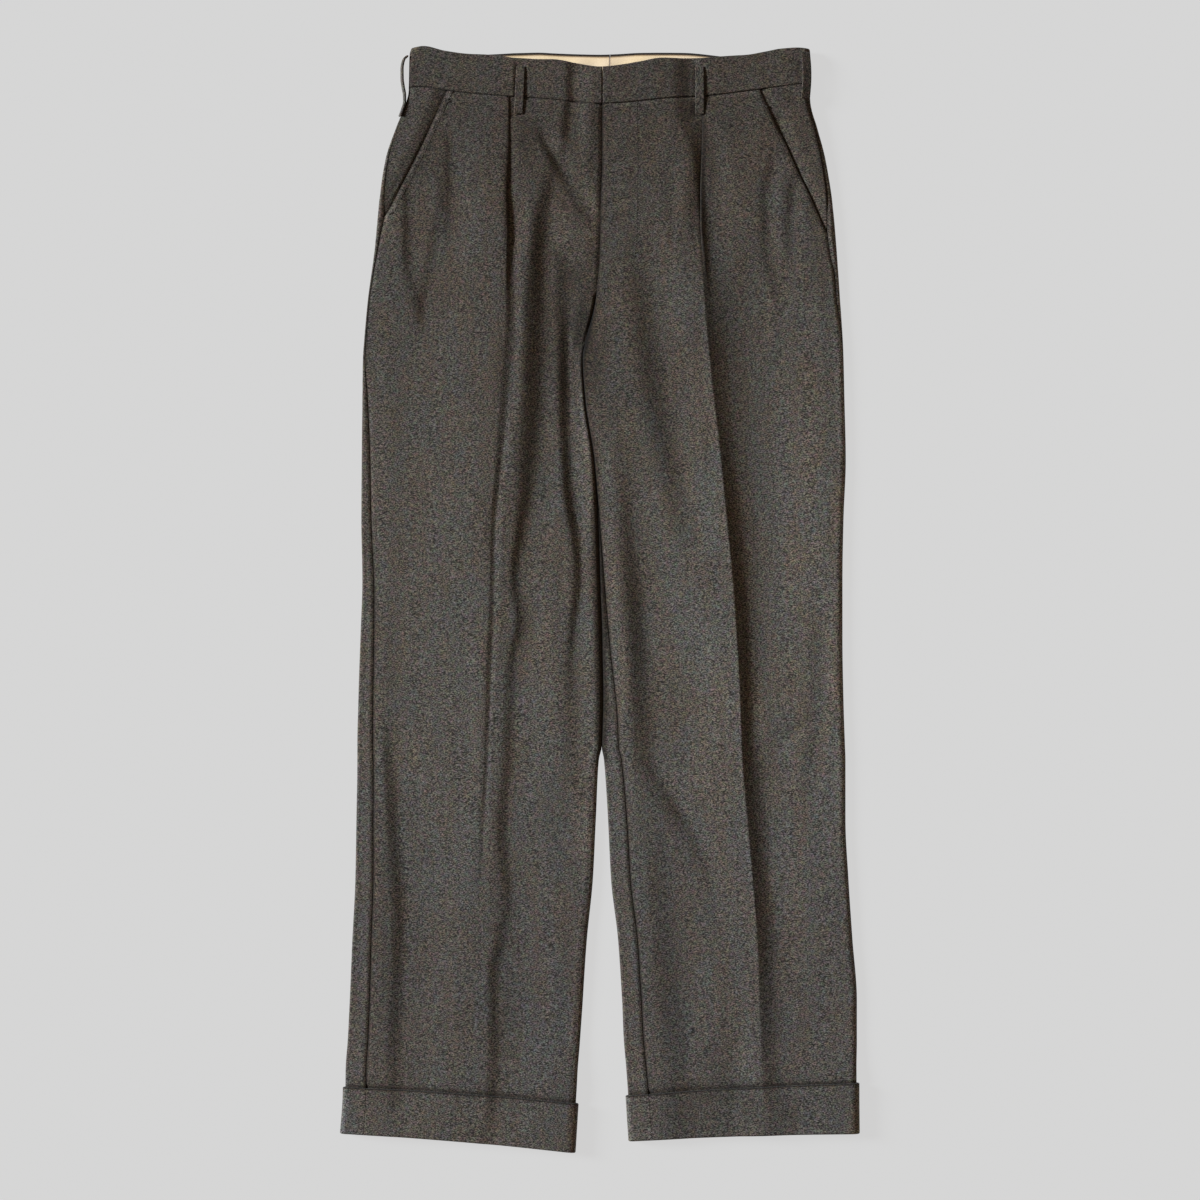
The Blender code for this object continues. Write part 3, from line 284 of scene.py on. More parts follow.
PLEAT = Table(
    "y right left turn depth",
    (510, -91, 103.5, 180, 15), (470, -91, 103, 180, 13.5), (440, -92, 102, 180, 11),
    (410, -93.5, 101, 180, 7), (381, -93, 101, 150, 1), (345, -92, 103, 40, 1),
    (300, -92, 106.5, 6, 3), (240, -95, 111, 2, 3), (200, -98, 114, 2, 3), (140, -102, 120, 2, 3),
    (80, -106, 126, 2, 3), (20, -107.5, 131.5, 2, 3), (-40, -111, 135.5, 2, 3),
    (-100, -111.5, 139, 2, 3), (-160, -113, 141.5, 2, 3), (-220, -118, 146.5, 2, 3),
    (-280, -119.5, 151, 2, 3), (-340, -120, 156, 2, 3), (-400, -120, 160, 2, 3),
    (-560, -120, 160, 2, 3))

RIGHT_LINES = Table(
    "y outer crease valley ridge inner",
    (510, -150, -78, -56, -42, -26), (400, -176, -81.5, -54, -43, -30),
    (345, -196, -82.5, -58, -45, -33), (280, -196, -84.5, -61, -47, -32),
    (240, -196, -87, -62, -46.5, -30.5), (200, -196, -90, -62.5, -45.5, -29),
    (140, -196, -93.5, -67, -44, -27), (60, -198, -99.5, -78, -40, -20),
    (20, -200, -100.8, -80, -38, -18.5), (-40, -204, -103, -80, -38, -19.5),
    (-160, -212, -107.5, -87, -42, -22), (-280, -210, -110.5, -89, -52, -30),
    (-400, -205, -111, -98, -64, -40), (-560, -205, -111, -102, -70, -46))

LEFT_LINES = Table(
    "y outer foot plane valley inner",
    (510, 148, 122, 80, 50, 25), (400, 172, 124, 78, 46, 22), (345, 178, 123, 78, 50, 21),
    (280, 182, 125, 84, 58, 22), (240, 186, 128, 86, 64, 22), (200, 188, 132, 88, 67, 23),
    (140, 190, 136, 90, 58, 20), (80, 194, 142, 92, 46, 20), (20, 203, 146, 96, 47, 25),
    (-40, 212, 149, 96, 52, 31), (-160, 211, 153, 98, 57, 35), (-280, 206, 165, 114, 74, 48),
    (-400, 210, 176, 124, 88, 58), (-560, 210, 176, 124, 96, 74))

# How much the rows from the waist down follow the waist seam, and the rows at the hem.
WAIST_SHARE = Table("y share",
    (505, 1), (492, 0.9), (472, 0.6), (440, 0.2), (410, 0))

HEM_ROWS = numbered(
    "right_outer right_inner left_inner left_outer",
    (-430, -430, -430, -430), (-460, -468, -466, -461), (-481, -496, -488, -478),
    (-487, -503.5, -495.5, -483), (-508, -525, -517, -508), (-530.5, -550, -538.3, -530.9),
    (-533.8, -553.2, -541.4, -533.8))
LEG_LAST_ROW = 5
TURNUP_FIRST_ROW = 3
TURNUP_LAST_ROW = 6

# The folds, as ridges (height above 0) and troughs (below 0); the first ones are the part's too.
FOLDS = {
    "right thigh": fold(
        (500, -100, 0, 90, 80), (430, -98, 1.6, 100, 84), (370, -94, 4.2, 110, 88),
        (300, -93, 5.6, 115, 88), (140, -100, 5.8, 118, 92), (20, -108, 4.6, 112, 92),
        (-100, -114, 3.2, 104, 86), (-250, -122, 2, 96, 80), (-480, -130, 0.6, 90, 80)),
    "right crease": fold(
        (430, -79, 0, 12, 14, 0.2), (370, -78, 0.6, 14, 15, 0.5), (300, -78.5, 1, 14, 16, 0.7),
        (240, -82, 1.1, 15, 17, 0.6), (160, -90, 1.1, 15, 18, 0.6), (80, -98.5, 1.1, 14, 16, 0.6),
        (0, -101.5, 1, 13, 13, 0.6), (-80, -104.5, 0.9, 13, 13, 0.5),
        (-160, -108.5, 0.8, 13, 13, 0.4), (-240, -111, 0.6, 13, 14, 0.3),
        (-360, -112, 0.4, 14, 16, 0.2), (-540, -112, 0.2, 16, 18, 0.2)),
    "right deep valley": fold(
        (450, -46, 0, 12, 20), (425, -44, -1.4, 14, 24), (390, -50, -3, 18, 26),
        (350, -53, -4.8, 22, 32), (300, -54, -5.8, 25, 36), (200, -56, -5.4, 26, 38),
        (140, -62, -4.8, 23, 40), (100, -68, -4, 18, 40), (80, -73, -3.5, 14, 40),
        (60, -76, -3.2, 12, 40), (40, -80, -3, 11, 38), (20, -81, -2.9, 11, 36),
        (-20, -75, -2.5, 12, 32), (-60, -83, -2.4, 13, 34), (-160, -87, -2.4, 14, 38),
        (-230, -92, -2.3, 14, 40), (-300, -86, -2.1, 15, 48), (-340, -92, -2.2, 16, 56),
        (-380, -100, -2.4, 16, 64), (-450, -98, -2.2, 16, 60), (-560, -108, -0.9, 16, 50)),
    "right second ridge": fold(
        (360, -45, 0, 14, 12), (325, -46, 0.4, 20, 13, 0.2), (260, -47, 0.6, 22, 14, 0.2),
        (140, -42, 0.8, 26, 14, 0.2), (100, -37, 0.9, 28, 11, 0.1), (60, -30, 1, 32, 8),
        (20, -27, 1, 34, 7), (0, -29, 1, 34, 8), (-60, -37, 0.9, 34, 12),
        (-100, -40, 0.8, 34, 14), (-220, -44, 0, 30, 18)),
    "right third valley": fold(
        (356, -36, 0, 18, 20), (342, -31, -2.8, 18, 24), (300, -29, -3.6, 18, 30),
        (260, -29, -4.4, 15, 34), (220, -29, -4.4, 15, 34), (180, -29.5, -4.2, 14, 30),
        (140, -29, -3.9, 12, 26), (120, -29, -3.5, 11, 25), (100, -27.5, -3, 10, 24),
        (80, -24.5, -2.4, 9, 24), (60, -21, -1.9, 8, 22), (40, -20, -1.6, 6.5, 22),
        (20, -20, -1.5, 6.5, 24), (0, -21, -1.4, 7, 24), (-20, -24, -1.3, 8, 24),
        (-60, -25, -1, 10, 26), (-130, -22, -0.8, 11, 26), (-220, -22, 0, 14, 20)),
    "left crease": fold(
        (440, 99, 0, 70, 16, 0.2), (380, 99.5, 1.8, 90, 24, 0.6), (320, 103, 4.2, 105, 26, 0.95),
        (240, 109.5, 5.7, 110, 23, 0.95), (140, 120.5, 5.9, 105, 20, 0.95),
        (60, 128.5, 5.5, 100, 18, 0.95), (0, 134, 5, 96, 16, 0.95),
        (-100, 140, 4.5, 90, 14, 0.95), (-160, 142, 4.3, 80, 16, 0.95),
        (-220, 147, 4, 72, 19, 0.9), (-340, 157, 3.5, 60, 20, 0.9),
        (-440, 160.5, 2.6, 54, 20, 0.8), (-480, 162, 2, 54, 24, 0.6),
        (-520, 167, 1.3, 50, 30, 0.3), (-560, 168, 1.1, 50, 30, 0.3)),
    "left upper valley": fold(
        (380, 42, 0, 22, 34), (320, 52, -2.4, 28, 46), (260, 62, -4.6, 31, 54),
        (200, 70, -5.2, 31, 56), (140, 81, -4.4, 30, 50), (80, 91, -2.4, 27, 40),
        (30, 96, 0, 26, 32)),
    "left inner ridge": fold(
        (380, 18, 0, 24, 30), (300, 20, 0.8, 30, 30), (200, 20, 0.8, 34, 28),
        (120, 12, 1, 30, 24, 0.2), (60, 12, 1.2, 34, 26, 0.3), (0, 16, 1.3, 38, 28, 0.3),
        (-60, 20, 1.3, 42, 28, 0.3), (-140, 24, 1.2, 42, 28, 0.3), (-175, 30, 0.8, 40, 26, 0.2),
        (-250, 38, 0, 34, 24)),
    "left third valley": fold(
        (170, 24, 0, 20, 38), (110, 32, -1.8, 23, 48), (60, 38, -2.8, 24, 58),
        (0, 44, -3.4, 26, 66), (-60, 50, -3.4, 26, 68), (-140, 55, -2.8, 26, 66),
        (-180, 64, -2.2, 28, 58), (-215, 86, -2.4, 26, 44), (-245, 100, -1.8, 26, 36),
        (-290, 108, 0, 24, 34)),
    "left outer valley": fold(
        (400, 146, 0, 30, 60), (320, 146, -1.6, 30, 70), (240, 150, -2.4, 32, 74),
        (60, 158, -2.6, 28, 70), (-120, 164, -2.4, 24, 66), (-240, 172, -2, 26, 66),
        (-360, 184, -1.6, 28, 60), (-500, 188, -0.8, 28, 56)),
    "waist arch": fold(
        (556, 4, 4.2, 175, 190), (505, 4, 2.6, 175, 190), (460, 4, 0.9, 165, 180),
        (420, 4, 0, 160, 170)),

    # Smaller creases, which only the looks have.
    "right pleat back": fold(
        (490, -88, 0, 8, 8), (450, -88, -0.8, 9, 16), (420, -88, -1.3, 10, 20, 0.1),
        (380, -87, -1.5, 11, 22, 0.1), (340, -85.5, -1.7, 11, 22, 0.1),
        (280, -84, -1.9, 11, 22, 0.1), (240, -87, -2, 11, 24, 0.2), (200, -91, -2, 10, 26, 0.2),
        (160, -95.5, -2, 9, 28, 0.3), (120, -99.5, -2, 8, 28, 0.3), (80, -104, -2, 8, 28, 0.3),
        (40, -105.5, -1.8, 7, 26, 0.3), (0, -105.5, -1.6, 7, 26, 0.3),
        (-80, -109, -1.6, 7, 24, 0.3), (-160, -112, -1.4, 7, 22, 0.3),
        (-240, -116.5, -0.7, 7, 16, 0.2), (-300, -119, 0, 7, 12)),
    "right side trough": fold(
        (430, -191, 0, 9, 24), (395, -190, -2, 10, 34), (340, -188, -2.4, 12, 38),
        (300, -178, -2, 13, 40), (260, -172, 0, 14, 30)),
    "right shin trough": fold(
        (-110, -209, 0, 12, 30), (-150, -206, -1.8, 14, 44), (-200, -201, -2.9, 16, 58),
        (-250, -198, -3.3, 17, 62), (-320, -193, -3.4, 18, 62), (-380, -195, -3.1, 18, 60),
        (-440, -197, -2.7, 18, 56), (-490, -198, -1.6, 17, 50), (-540, -198, 0, 16, 40)),
    "right hip crease": fold(
        (475, -155, 0, 9, 26), (450, -148, -1.5, 10, 32), (400, -147, -1.9, 11, 34),
        (365, -149, -1.4, 11, 34), (335, -152, 0, 12, 26)),
    "right hip second crease": fold(
        (430, -156, 0, 9, 24), (400, -155, -1.4, 11, 32), (350, -163, -1.9, 12, 36),
        (300, -172, -1.8, 12, 36), (260, -176, 0, 12, 28)),
    "right tummy crease": fold(
        (478, -62, 0, 10, 16), (460, -54.5, -2.4, 11, 24, 0.2), (440, -42.5, -3, 12, 24, 0.2),
        (423, -31.5, -3, 14, 22, 0.1), (400, -19.5, -2.2, 14, 18), (380, -8, -0.9, 10, 12),
        (366, -2, 0, 9, 12)),
    "right fly trough": fold(
        (556, -24, -1.6, 10, 20), (505, -27, -2.1, 10, 20), (470, -30, -2.3, 11, 22),
        (450, -31, -1.7, 11, 20), (428, -32, 0, 10, 16)),
    "left fold back": fold(
        (556, 90, -2.2, 22, 10), (505, 91, -2.6, 22, 12), (480, 96, -2.6, 20, 22),
        (440, 104, -2.4, 14, 36), (380, 108, -2.4, 10, 38), (340, 110.5, -1.6, 10, 36),
        (290, 114, 0, 12, 30)),
    "left tummy trough": fold(
        (440, 70, 0, 12, 16), (410, 72, -0.9, 12, 16), (380, 74, -0.9, 12, 16),
        (340, 76, 0, 12, 16)),
    "left lower valley": fold(
        (-190, 66, 0, 22, 34), (-260, 70, -1.8, 26, 36), (-360, 80, -2.6, 30, 38),
        (-460, 92, -3, 34, 38), (-556, 98, -1.6, 34, 34)),
    "left knee diagonal": fold(
        (-150, 46, 0, 12, 20), (-175, 60, -0.8, 12, 20), (-210, 82, -1.4, 14, 22),
        (-240, 100, -1.2, 14, 22), (-275, 112, -0.8, 14, 22), (-320, 118, 0, 14, 18)),
    "left hem trough": fold(
        (-400, 128, 0, 34, 24), (-450, 134, -1.8, 38, 22), (-500, 136, -2.4, 40, 20),
        (-556, 136, -1.6, 40, 20)),
    "left hip trough": fold(
        (500, 176, 0, 9, 12), (482, 181, -1.7, 10, 14), (462, 185, -0.3, 9, 14, 0.1),
        (440, 192, 0, 9, 13, 0.1), (420, 197, -0.5, 9, 13, 0.1), (395, 195, -0.5, 9, 13),
        (370, 192, 0, 10, 13)),
    "left hip soft band": fold(
        (450, 176, 0, 10, 12), (430, 172, -1, 10, 13), (400, 168, -1.5, 10, 14),
        (355, 169, -1.6, 10, 14), (310, 181, -1.2, 13, 20), (265, 184, 0, 14, 18)),
    "left hip second band": fold(
        (430, 196, 0, 9, 12), (400, 193, -1.1, 9, 13), (350, 191, -0.9, 9, 13),
        (310, 192, 0, 10, 14)),
    "left knee trough": fold(
        (20, 222, 0, 18, 14), (-60, 222, -1.2, 16, 14), (-130, 219, -1.2, 16, 14),
        (-240, 208, 0, 16, 14)),
    "left knee crease": fold(
        (-112, 220, 0, 18, 16), (-124, 204, -1, 20, 16), (-140, 190, -1.2, 20, 16),
        (-156, 176, 0, 16, 14)),
}

# Small dimples beside the fly.
DENTS = named(
    "at_y at_x reach_x reach_y tilt height",
    (482, 22, 26, 5, 0.1, -0.5), (474, 30, 22, 4, 0.05, 0.35), (437, 16, 22, 4.5, 0.12, -0.5),
    (428, 20, 24, 4, 0.1, 0.3), (415, 18, 24, 4.5, 0.16, -0.5), (399, 22, 26, 4.5, 0.2, -0.6),
    (390, 20, 22, 4, 0.22, 0.35), (382, 24, 28, 4.5, 0.26, -0.5), (341, 26, 26, 6, 0.35, -0.5),
    (322, 16, 18, 6, 0.45, -0.5))


class Leg:
    """One side of the trousers; x is a place in the model, p a distance from its outer edge."""

    def __init__(self, name, side, lines):
        self.name, self.side, self.lines = name, side, lines

    def outer(self, y):
        return OUTLINE.at(self.name + "_outer", y)

    def inner(self, y):
        return OUTLINE.at("centre", y) + self.side * OUTLINE.at("parting", y) / 2

    def width(self, y):
        return np.abs(self.outer(y) - self.inner(y))

    def x(self, y, p):
        return self.outer(y) - self.side * p

    def p(self, y, x):
        return (self.outer(y) - x) * self.side

    def mouth(self, y):
        return self.p(y, MOUTH.at(self.name, y))

    def pleat(self, y):
        return self.p(y, PLEAT.at(self.name, y))

    def seam(self, name, y):
        """Opened-out place of the side seam or of the inseam."""
        return edge_start(y, CLOTH) + WRAP.at(f"{self.name}_{name}", y)


RIGHT = Leg("right", -1, RIGHT_LINES)
LEFT = Leg("left", 1, LEFT_LINES)


def two_tubes(y):
    """0 above the crotch, where the front is one width of cloth, and 1 below it."""
    return np.clip((CROTCH_Y + CROTCH_SHIFT - y) / (2 * CROTCH_SHIFT), 0.0, 1.0)


def one_fold(fold, x, y):
    reach = x - fold.at("x", y)
    flank = np.where(reach > 0, fold.at("plus_x", y), fold.at("minus_x", y))
    t = np.minimum(np.abs(reach) / flank, 1.0)
    crest = 2 * (1 - fold.at("sharp", y))
    return fold.at("height", y) * (1 - t) * (1 - t) * (1 + crest * t)


def one_dent(x, y, at_x, at_y, reach_x, reach_y, tilt, height):
    dx = x - at_x
    return height * fall(np.abs(dx) / reach_x) * fall(np.abs(y - at_y - tilt * dx) / reach_y)


def loop_bed(x, y):
    """How far the cloth sinks under the two front loops."""
    depth = 0.0
    share = (y - FRONT_LOOP_BOTTOM_Y) / (FRONT_LOOP_TOP_Y - FRONT_LOOP_BOTTOM_Y)
    beyond = np.maximum(np.maximum(y - FRONT_LOOP_TOP_Y, FRONT_LOOP_BOTTOM_Y - y), 0.0)
    for top_x, bottom_x in FRONT_LOOP_X.values():
        beside = np.abs(x - mix(bottom_x, top_x, share)) - LOOP_WIDTH / 2
        depth = depth + LOOP_BED * fall(beside / LOOP_BED_RIM) * fall(beyond / LOOP_BED_END)
    return depth


def relief(x, y):
    """How far the front stands up at a place because of its folds."""
    folds = sum(one_fold(fold, x, y) for fold in FOLDS.values())
    return folds + sum(one_dent(x, y, **dent) for dent in DENTS) - loop_bed(x, y)


def lift(leg, x, y):
    """Loft and folds, fading out at the leg's rounded edges."""
    outside = 1 - fall(np.abs(leg.outer(y) - x) / EDGE_FADE[leg.name])
    inside = 1 - fall(np.abs(leg.inner(y) - x) / INNER_FADE[leg.name]) * two_tubes(y)
    return (LOFT + relief(x, y)) * outside * inside


def edge_radius(y, wall):
    return (TUBE.at("height", y) - wall) / 2


def edge_start(y, wall):
    """Opened-out place of the outermost point of the edge."""
    return wall / 2 + edge_radius(y, wall) * (1 - math.pi / 2)


def ring(leg, y, s, inward=True, wall=CLOTH, sink=0.0, rounded=True):
    """Points (x, z) of the wall's middle surface at the opened-out places s.

    s is measured from the outer edge when inward is true and from the inner edge otherwise, over
    the top of the tube.  Less than edge_start is round the edge and on under the leg.
    """
    base, height = TUBE.at("base", y), TUBE.at("height", y)
    radius = edge_radius(y, wall)
    start = edge_start(y, wall)
    angle = (s - start) / radius
    top = (s >= wall / 2 + radius) | (not rounded)
    arc = ~top & (angle > -math.pi / 2)
    p = np.where(top, s, np.where(arc, wall / 2 + radius * (1 - np.cos(angle)), 2 * start - s))
    z = np.where(top, base + height - wall / 2 - sink,
                 np.where(arc, base + height / 2 + radius * np.sin(angle), base + wall / 2))
    x = leg.x(y, p) if inward else leg.inner(y) + leg.side * p
    return x, z + np.where(top, lift(leg, x, y), 0.0)


# --- pleats ---
PLEAT_SHARES = np.linspace(0.0, 1.0, 7)
PLEAT_STRAIGHT = np.array((0.25, 0.5, 0.75))
PLEAT_COLUMNS = 2 * len(PLEAT_SHARES) + len(PLEAT_STRAIGHT)


def pleat_bend(y):
    """Angle, depth and radius of the pleat, and how far it is opened out."""
    turn = np.radians(PLEAT.at("turn", y))
    return (turn, PLEAT.at("depth", y), np.maximum(PLEAT_RADIUS, PLEAT_ARC / turn),
            (1 + np.cos(turn)) / 2)


def pleat_shape(y):
    """The pleat's section: offsets p and z of its columns from where the top layer ends."""
    turn, depth, radius, opened = pleat_bend(y)
    across, down = radius * np.sin(turn), radius * (1 - np.cos(turn))
    first, rest = turn * PLEAT_SHARES, turn * (1 - PLEAT_SHARES)
    under_p = across + depth * np.cos(turn)
    under_z = -down - depth * np.sin(turn)
    p = join(radius * np.sin(first), mix(across, under_p, PLEAT_STRAIGHT),
             under_p + across - radius * np.sin(rest), axis=1)
    z = join(radius * (np.cos(first) - 1), mix(-down, under_z, PLEAT_STRAIGHT),
             under_z - radius * (np.cos(rest) - np.cos(turn)), axis=1)
    return p - (opened * p[:, -1:] / 2 + (1 - opened) * radius), z


def pleat_end(y):
    """Offset p and z of the pleat's last column, where the front comes out from under it."""
    turn, depth, radius, opened = pleat_bend(y)
    p = 2 * radius * np.sin(turn) + depth * np.cos(turn)
    z = -2 * radius * (1 - np.cos(turn)) - depth * np.sin(turn)
    return p - (opened * p / 2 + (1 - opened) * radius), z


def fly_sink(leg, x, y):
    """How far the right front sinks to run on under the left one."""
    if leg is LEFT:
        return 0.0
    reach = leg.inner(y) - x
    sink = LAYER * fall(reach / FLY_SLOPE) + FLY_DIP * fall(reach / FLY_DIP_WIDTH)
    return sink * (1 - two_tubes(y))


def front_point(leg, y, x, past_pleat):
    """Points (x, z) of a front's middle surface beside the pleat's own columns."""
    p = leg.p(y, x)
    x, z = ring(leg, y, p)
    if past_pleat:
        dp, dz = pleat_end(y)
        z = z + dz * fall((p - leg.pleat(y) - dp) / PLEAT_RISE)
    return x, z - fly_sink(leg, x, y)


def side_place(leg, y):
    """Opened-out place of the front's outer edge: the side seam, and above its end the mouth."""
    seam = leg.seam("side", y)
    above = np.clip((y - POCKET_END_Y[leg.name]) / MOUTH_BLEND, 0.0, 1.0)
    return seam + np.maximum(leg.mouth(y) - seam, 0.0) * above + GAP / 2


def gape(leg, y, step):
    """How far the front rises at this distance from its outer edge."""
    return MOUTH_GAPE.at(leg.name, y) * fall(step / GAPE_WIDTH)


def side_points(leg, y, step):
    x, z = ring(leg, y, side_place(leg, y) + step)
    return x, z + gape(leg, y, step)


def inner_points(leg, y, step):
    """Next to the inseam, and above the crotch next to the centre front."""
    s = GAP / 2 + step
    tube = ring(leg, y, leg.seam("inseam", y) + s, inward=False)
    if leg is RIGHT:
        s = s - FLY_UNDERLAP * np.clip((y - FLY_END_Y) / FLY_END_SHIFT + 0.5, 0.0, 1.0)
    x, z = ring(leg, y, s, inward=False, rounded=False)
    z = z - fly_sink(leg, x, y)
    share = two_tubes(y)
    x = mix(x, tube[0], share)
    if leg is LEFT:
        x = x - FORK_LAP * fall(np.abs(y - FORK_Y) / FORK_LAP_REACH)
    return x, mix(z, tube[1], share)


def front_place(leg, name, y):
    """x of one of the lines between a front's blocks."""
    if name == "side":
        return side_points(leg, y, RIM[-1])[0]
    if name == "inner edge":
        return inner_points(leg, y, RIM[-1])[0]
    if name == "pleat start":
        return leg.x(y, leg.pleat(y) + pleat_shape(y[:, :1])[0][:, :1])
    if name == "pleat end":
        return leg.x(y, leg.pleat(y) + pleat_end(y)[0])
    return leg.lines.at(name, y)


def front_span(leg, name_a, name_b, shares, past_pleat):
    def points(y):
        x = mix(front_place(leg, name_a, y), front_place(leg, name_b, y), shares)
        x, z = front_point(leg, y, x, past_pleat)
        if name_a == "side":
            z = z + gape(leg, y, leg.p(y, x) - side_place(leg, y))
        return x, z
    return points


def pleat_points(leg, y):
    dp, dz = pleat_shape(y[:, :1])
    x, z = ring(leg, y, leg.pleat(y) + dp)
    return x, z + dz


def front(leg):
    """The front panel, from the side to the inner edge."""
    blocks = [(len(RIM), lambda y: side_points(leg, y, RIM))]
    past_pleat = False
    for name_a, name_b, count in FRONT_SPANS[leg.name]:
        if name_a == "pleat end":
            blocks.append((PLEAT_COLUMNS, lambda y: pleat_points(leg, y)))
            past_pleat = True
        last = count + 1 if name_b in ("pleat start", "inner edge") else count
        shares = np.arange(1, count + 1) / last
        blocks.append((count, front_span(leg, name_a, name_b, shares, past_pleat)))
    return blocks + [(len(RIM), lambda y: inner_points(leg, y, RIM[::-1]))]


def back_half(leg, y, seam, inward):
    """Points of the back from a seam round the edge to its middle."""
    start = edge_start(y, CLOTH)[:, :1]
    first = leg.seam(seam, y[:, :1]) - GAP / 2
    rim_end = first - RIM[-1]
    bend_end = start - edge_radius(y, CLOTH)[:, :1] * math.pi / 2
    edge_end = np.minimum(bend_end, rim_end) - BACK_EDGE_EXTRA
    middle = 2 * start - leg.width(y)[:, :1] / 2
    round_steps = np.arange(1, BACK_EDGE_STEPS + 1) / BACK_EDGE_STEPS
    flat_steps = np.arange(1, BACK_FLAT_STEPS + 1) / (BACK_FLAT_STEPS + 0.5)
    s = join(first - RIM, mix(rim_end, edge_end, round_steps), mix(edge_end, middle, flat_steps),
             axis=1)
    x, z = ring(leg, y, s, inward=inward)
    if inward:
        return x, z
    reach = GAP / 2 + join(RIM, mix(RIM[-1], FLAT_FROM_EDGE, round_steps),
                           mix(FLAT_FROM_EDGE, leg.width(HEM_Y) / 2, flat_steps))
    flat_x = OUTLINE.at("centre_back", y) + leg.side * reach
    flat_z = TUBE.at("base", y) + CLOTH / 2
    share = two_tubes(y)
    return mix(flat_x, x, share), mix(flat_z, z, share)


def back(leg):
    """The back panel, from the side seam round under the leg to the inner seam."""
    count = len(RIM) + BACK_EDGE_STEPS + BACK_FLAT_STEPS
    return [(count, lambda y: back_half(leg, y, "side", True)),
            (count, lambda y: [a[:, ::-1] for a in back_half(leg, y[:, ::-1], "inseam", False)])]


def pocket_side(leg):
    """The piece behind the slanted mouth, from the side seam to a little under the front."""
    def points(y):
        s = leg.seam("side", y) + GAP / 2
        mouth = leg.mouth(y)
        width = mouth + POCKET_UNDERLAP - s
        n = len(RIM)
        s[:, :n] += RIM
        s[:, n:-n] += mix(RIM[-1], width[:, n:-n] - RIM[-1],
                          np.arange(1, POCKET_COLUMNS + 1) / (POCKET_COLUMNS + 1))
        s[:, -n:] += width[:, -n:] - RIM[::-1]
        dip = MOUTH_GAPE.at("dip", y) * fall((mouth + POCKET_MOUTH_REACH - s) / POCKET_DIP_WIDTH)
        sink = LAYER * fall((mouth - POCKET_MOUTH_REACH - s) / POCKET_SLOPE)
        return ring(leg, y, s, sink=sink + dip)
    return [(2 * len(RIM) + POCKET_COLUMNS, points)]


def section(panel, y):
    """Points (x, z) of a panel: blocks of columns, each a number and a function of y."""
    parts, first = [], 0
    for count, points in panel:
        parts.append(points(y[:, first:first + count]))
        first += count
    return [join(*both, axis=1) for both in zip(*parts)]


# --- rows ---
def waist_y(x, z, wall, which):
    """y of the seam or of the top edge; it passes from the back's to the front's over the side."""
    top = TUBE.at("height", SEAM_Y) - wall / 2
    share = 1 - fall((z - wall / 2) / (top - wall))
    return mix(WAIST.at("back_" + which, x), WAIST.at("front_" + which, x), share)


def hem_y(leg, x, row):
    outer = HEM_ROWS.at(leg.name + "_outer", row)
    inner = HEM_ROWS.at(leg.name + "_inner", row)
    share = leg.p(HEM_Y, x) / leg.width(HEM_Y)
    bow = HEM_BOW[leg.name] * 4 * share * (1 - share)
    return mix(outer, inner, share) + bow * np.minimum(row, 1)


def hem_distance(row):
    """About how far below LEG_END_Y a hem row is, for spacing rows evenly."""
    return LEG_END_Y - HEM_ROWS.at("right_outer", row)


def row_at(distance):
    """The hem row at a distance below LEG_END_Y."""
    rows = np.linspace(0.0, TURNUP_LAST_ROW, 600)
    return np.interp(distance, hem_distance(rows), rows)


def follow(leg, panel, y0, hem):
    """Grid of a panel's points (x, y, z) at rows that follow the waist, and then at hem rows."""
    start = join(y0, LEG_END_Y - hem_distance(hem))[:, None]
    share = join(WAIST_SHARE.at("share", y0), np.zeros(len(hem)))[:, None]
    row = join(np.zeros(len(y0)), hem)[:, None]
    y = np.broadcast_to(start, (len(start), sum(count for count, _ in panel))).copy()
    for _ in range(3):
        x, z = section(panel, y)
        seam = waist_y(x, z, CLOTH, "seam") - GAP / 2
        y = np.where(row > 0, hem_y(leg, x, row), start + (seam - SEAM_Y) * share)
    x, z = section(panel, y)
    return np.stack((x, y, z), axis=2)


def waist_to_hem(leg, panel, last_y=None):
    """The points of a panel from the waist seam to the end of the leg, or to last_y."""
    y0 = join(SEAM_Y - RIM, steps_between(SEAM_Y - RIM[-1], FINE_ABOVE_Y, ROW_STEP_TOP)[1:])
    if last_y is not None:
        y0 = join(y0[y0 > last_y + RIM[-1] + 1], last_y + RIM[::-1])
        return follow(leg, panel, y0, np.zeros(0))
    y0 = join(y0, steps_between(FINE_ABOVE_Y, LEG_END_Y, ROW_STEP)[1:])
    end = hem_distance(LEG_LAST_ROW)
    hem = join(steps_between(0.0, end - RIM[-1], ROW_STEP)[1:-1], end - RIM[::-1])
    return follow(leg, panel, y0, row_at(hem))


# --- shade: a point attribute, the share of the light left in seams and creases, painted into the colour ---
SHADE = "shade"
CLOTH_TOP = 1.0  # only what is higher than this above the base can be in a ditch
PARTING_SHARE = 0.88  # this share of the light is lost where the legs touch
# Beside a line that lies on a panel: a width and a share.
HEM_LINE = (2.6, 0.9)
FLY_LINE = (3.2, 0.75)
MOUTH_LINE = (2.2, 0.4)
OVER_LINING_LINE = (4.0, 0.85)
TURNUP_TOP_LINE = (2.5, 0.9)
PLEAT_SHADE_WIDTHS = (6.0, 4.8)  # to +X and -X of a pleat's edge
SEAM_SHADE_WIDTH = 6.0
# Where the lining's halves join it is darker: a share, and the reach across and down.
JOIN_SHADE = (0.75, 18.0, 5.5)
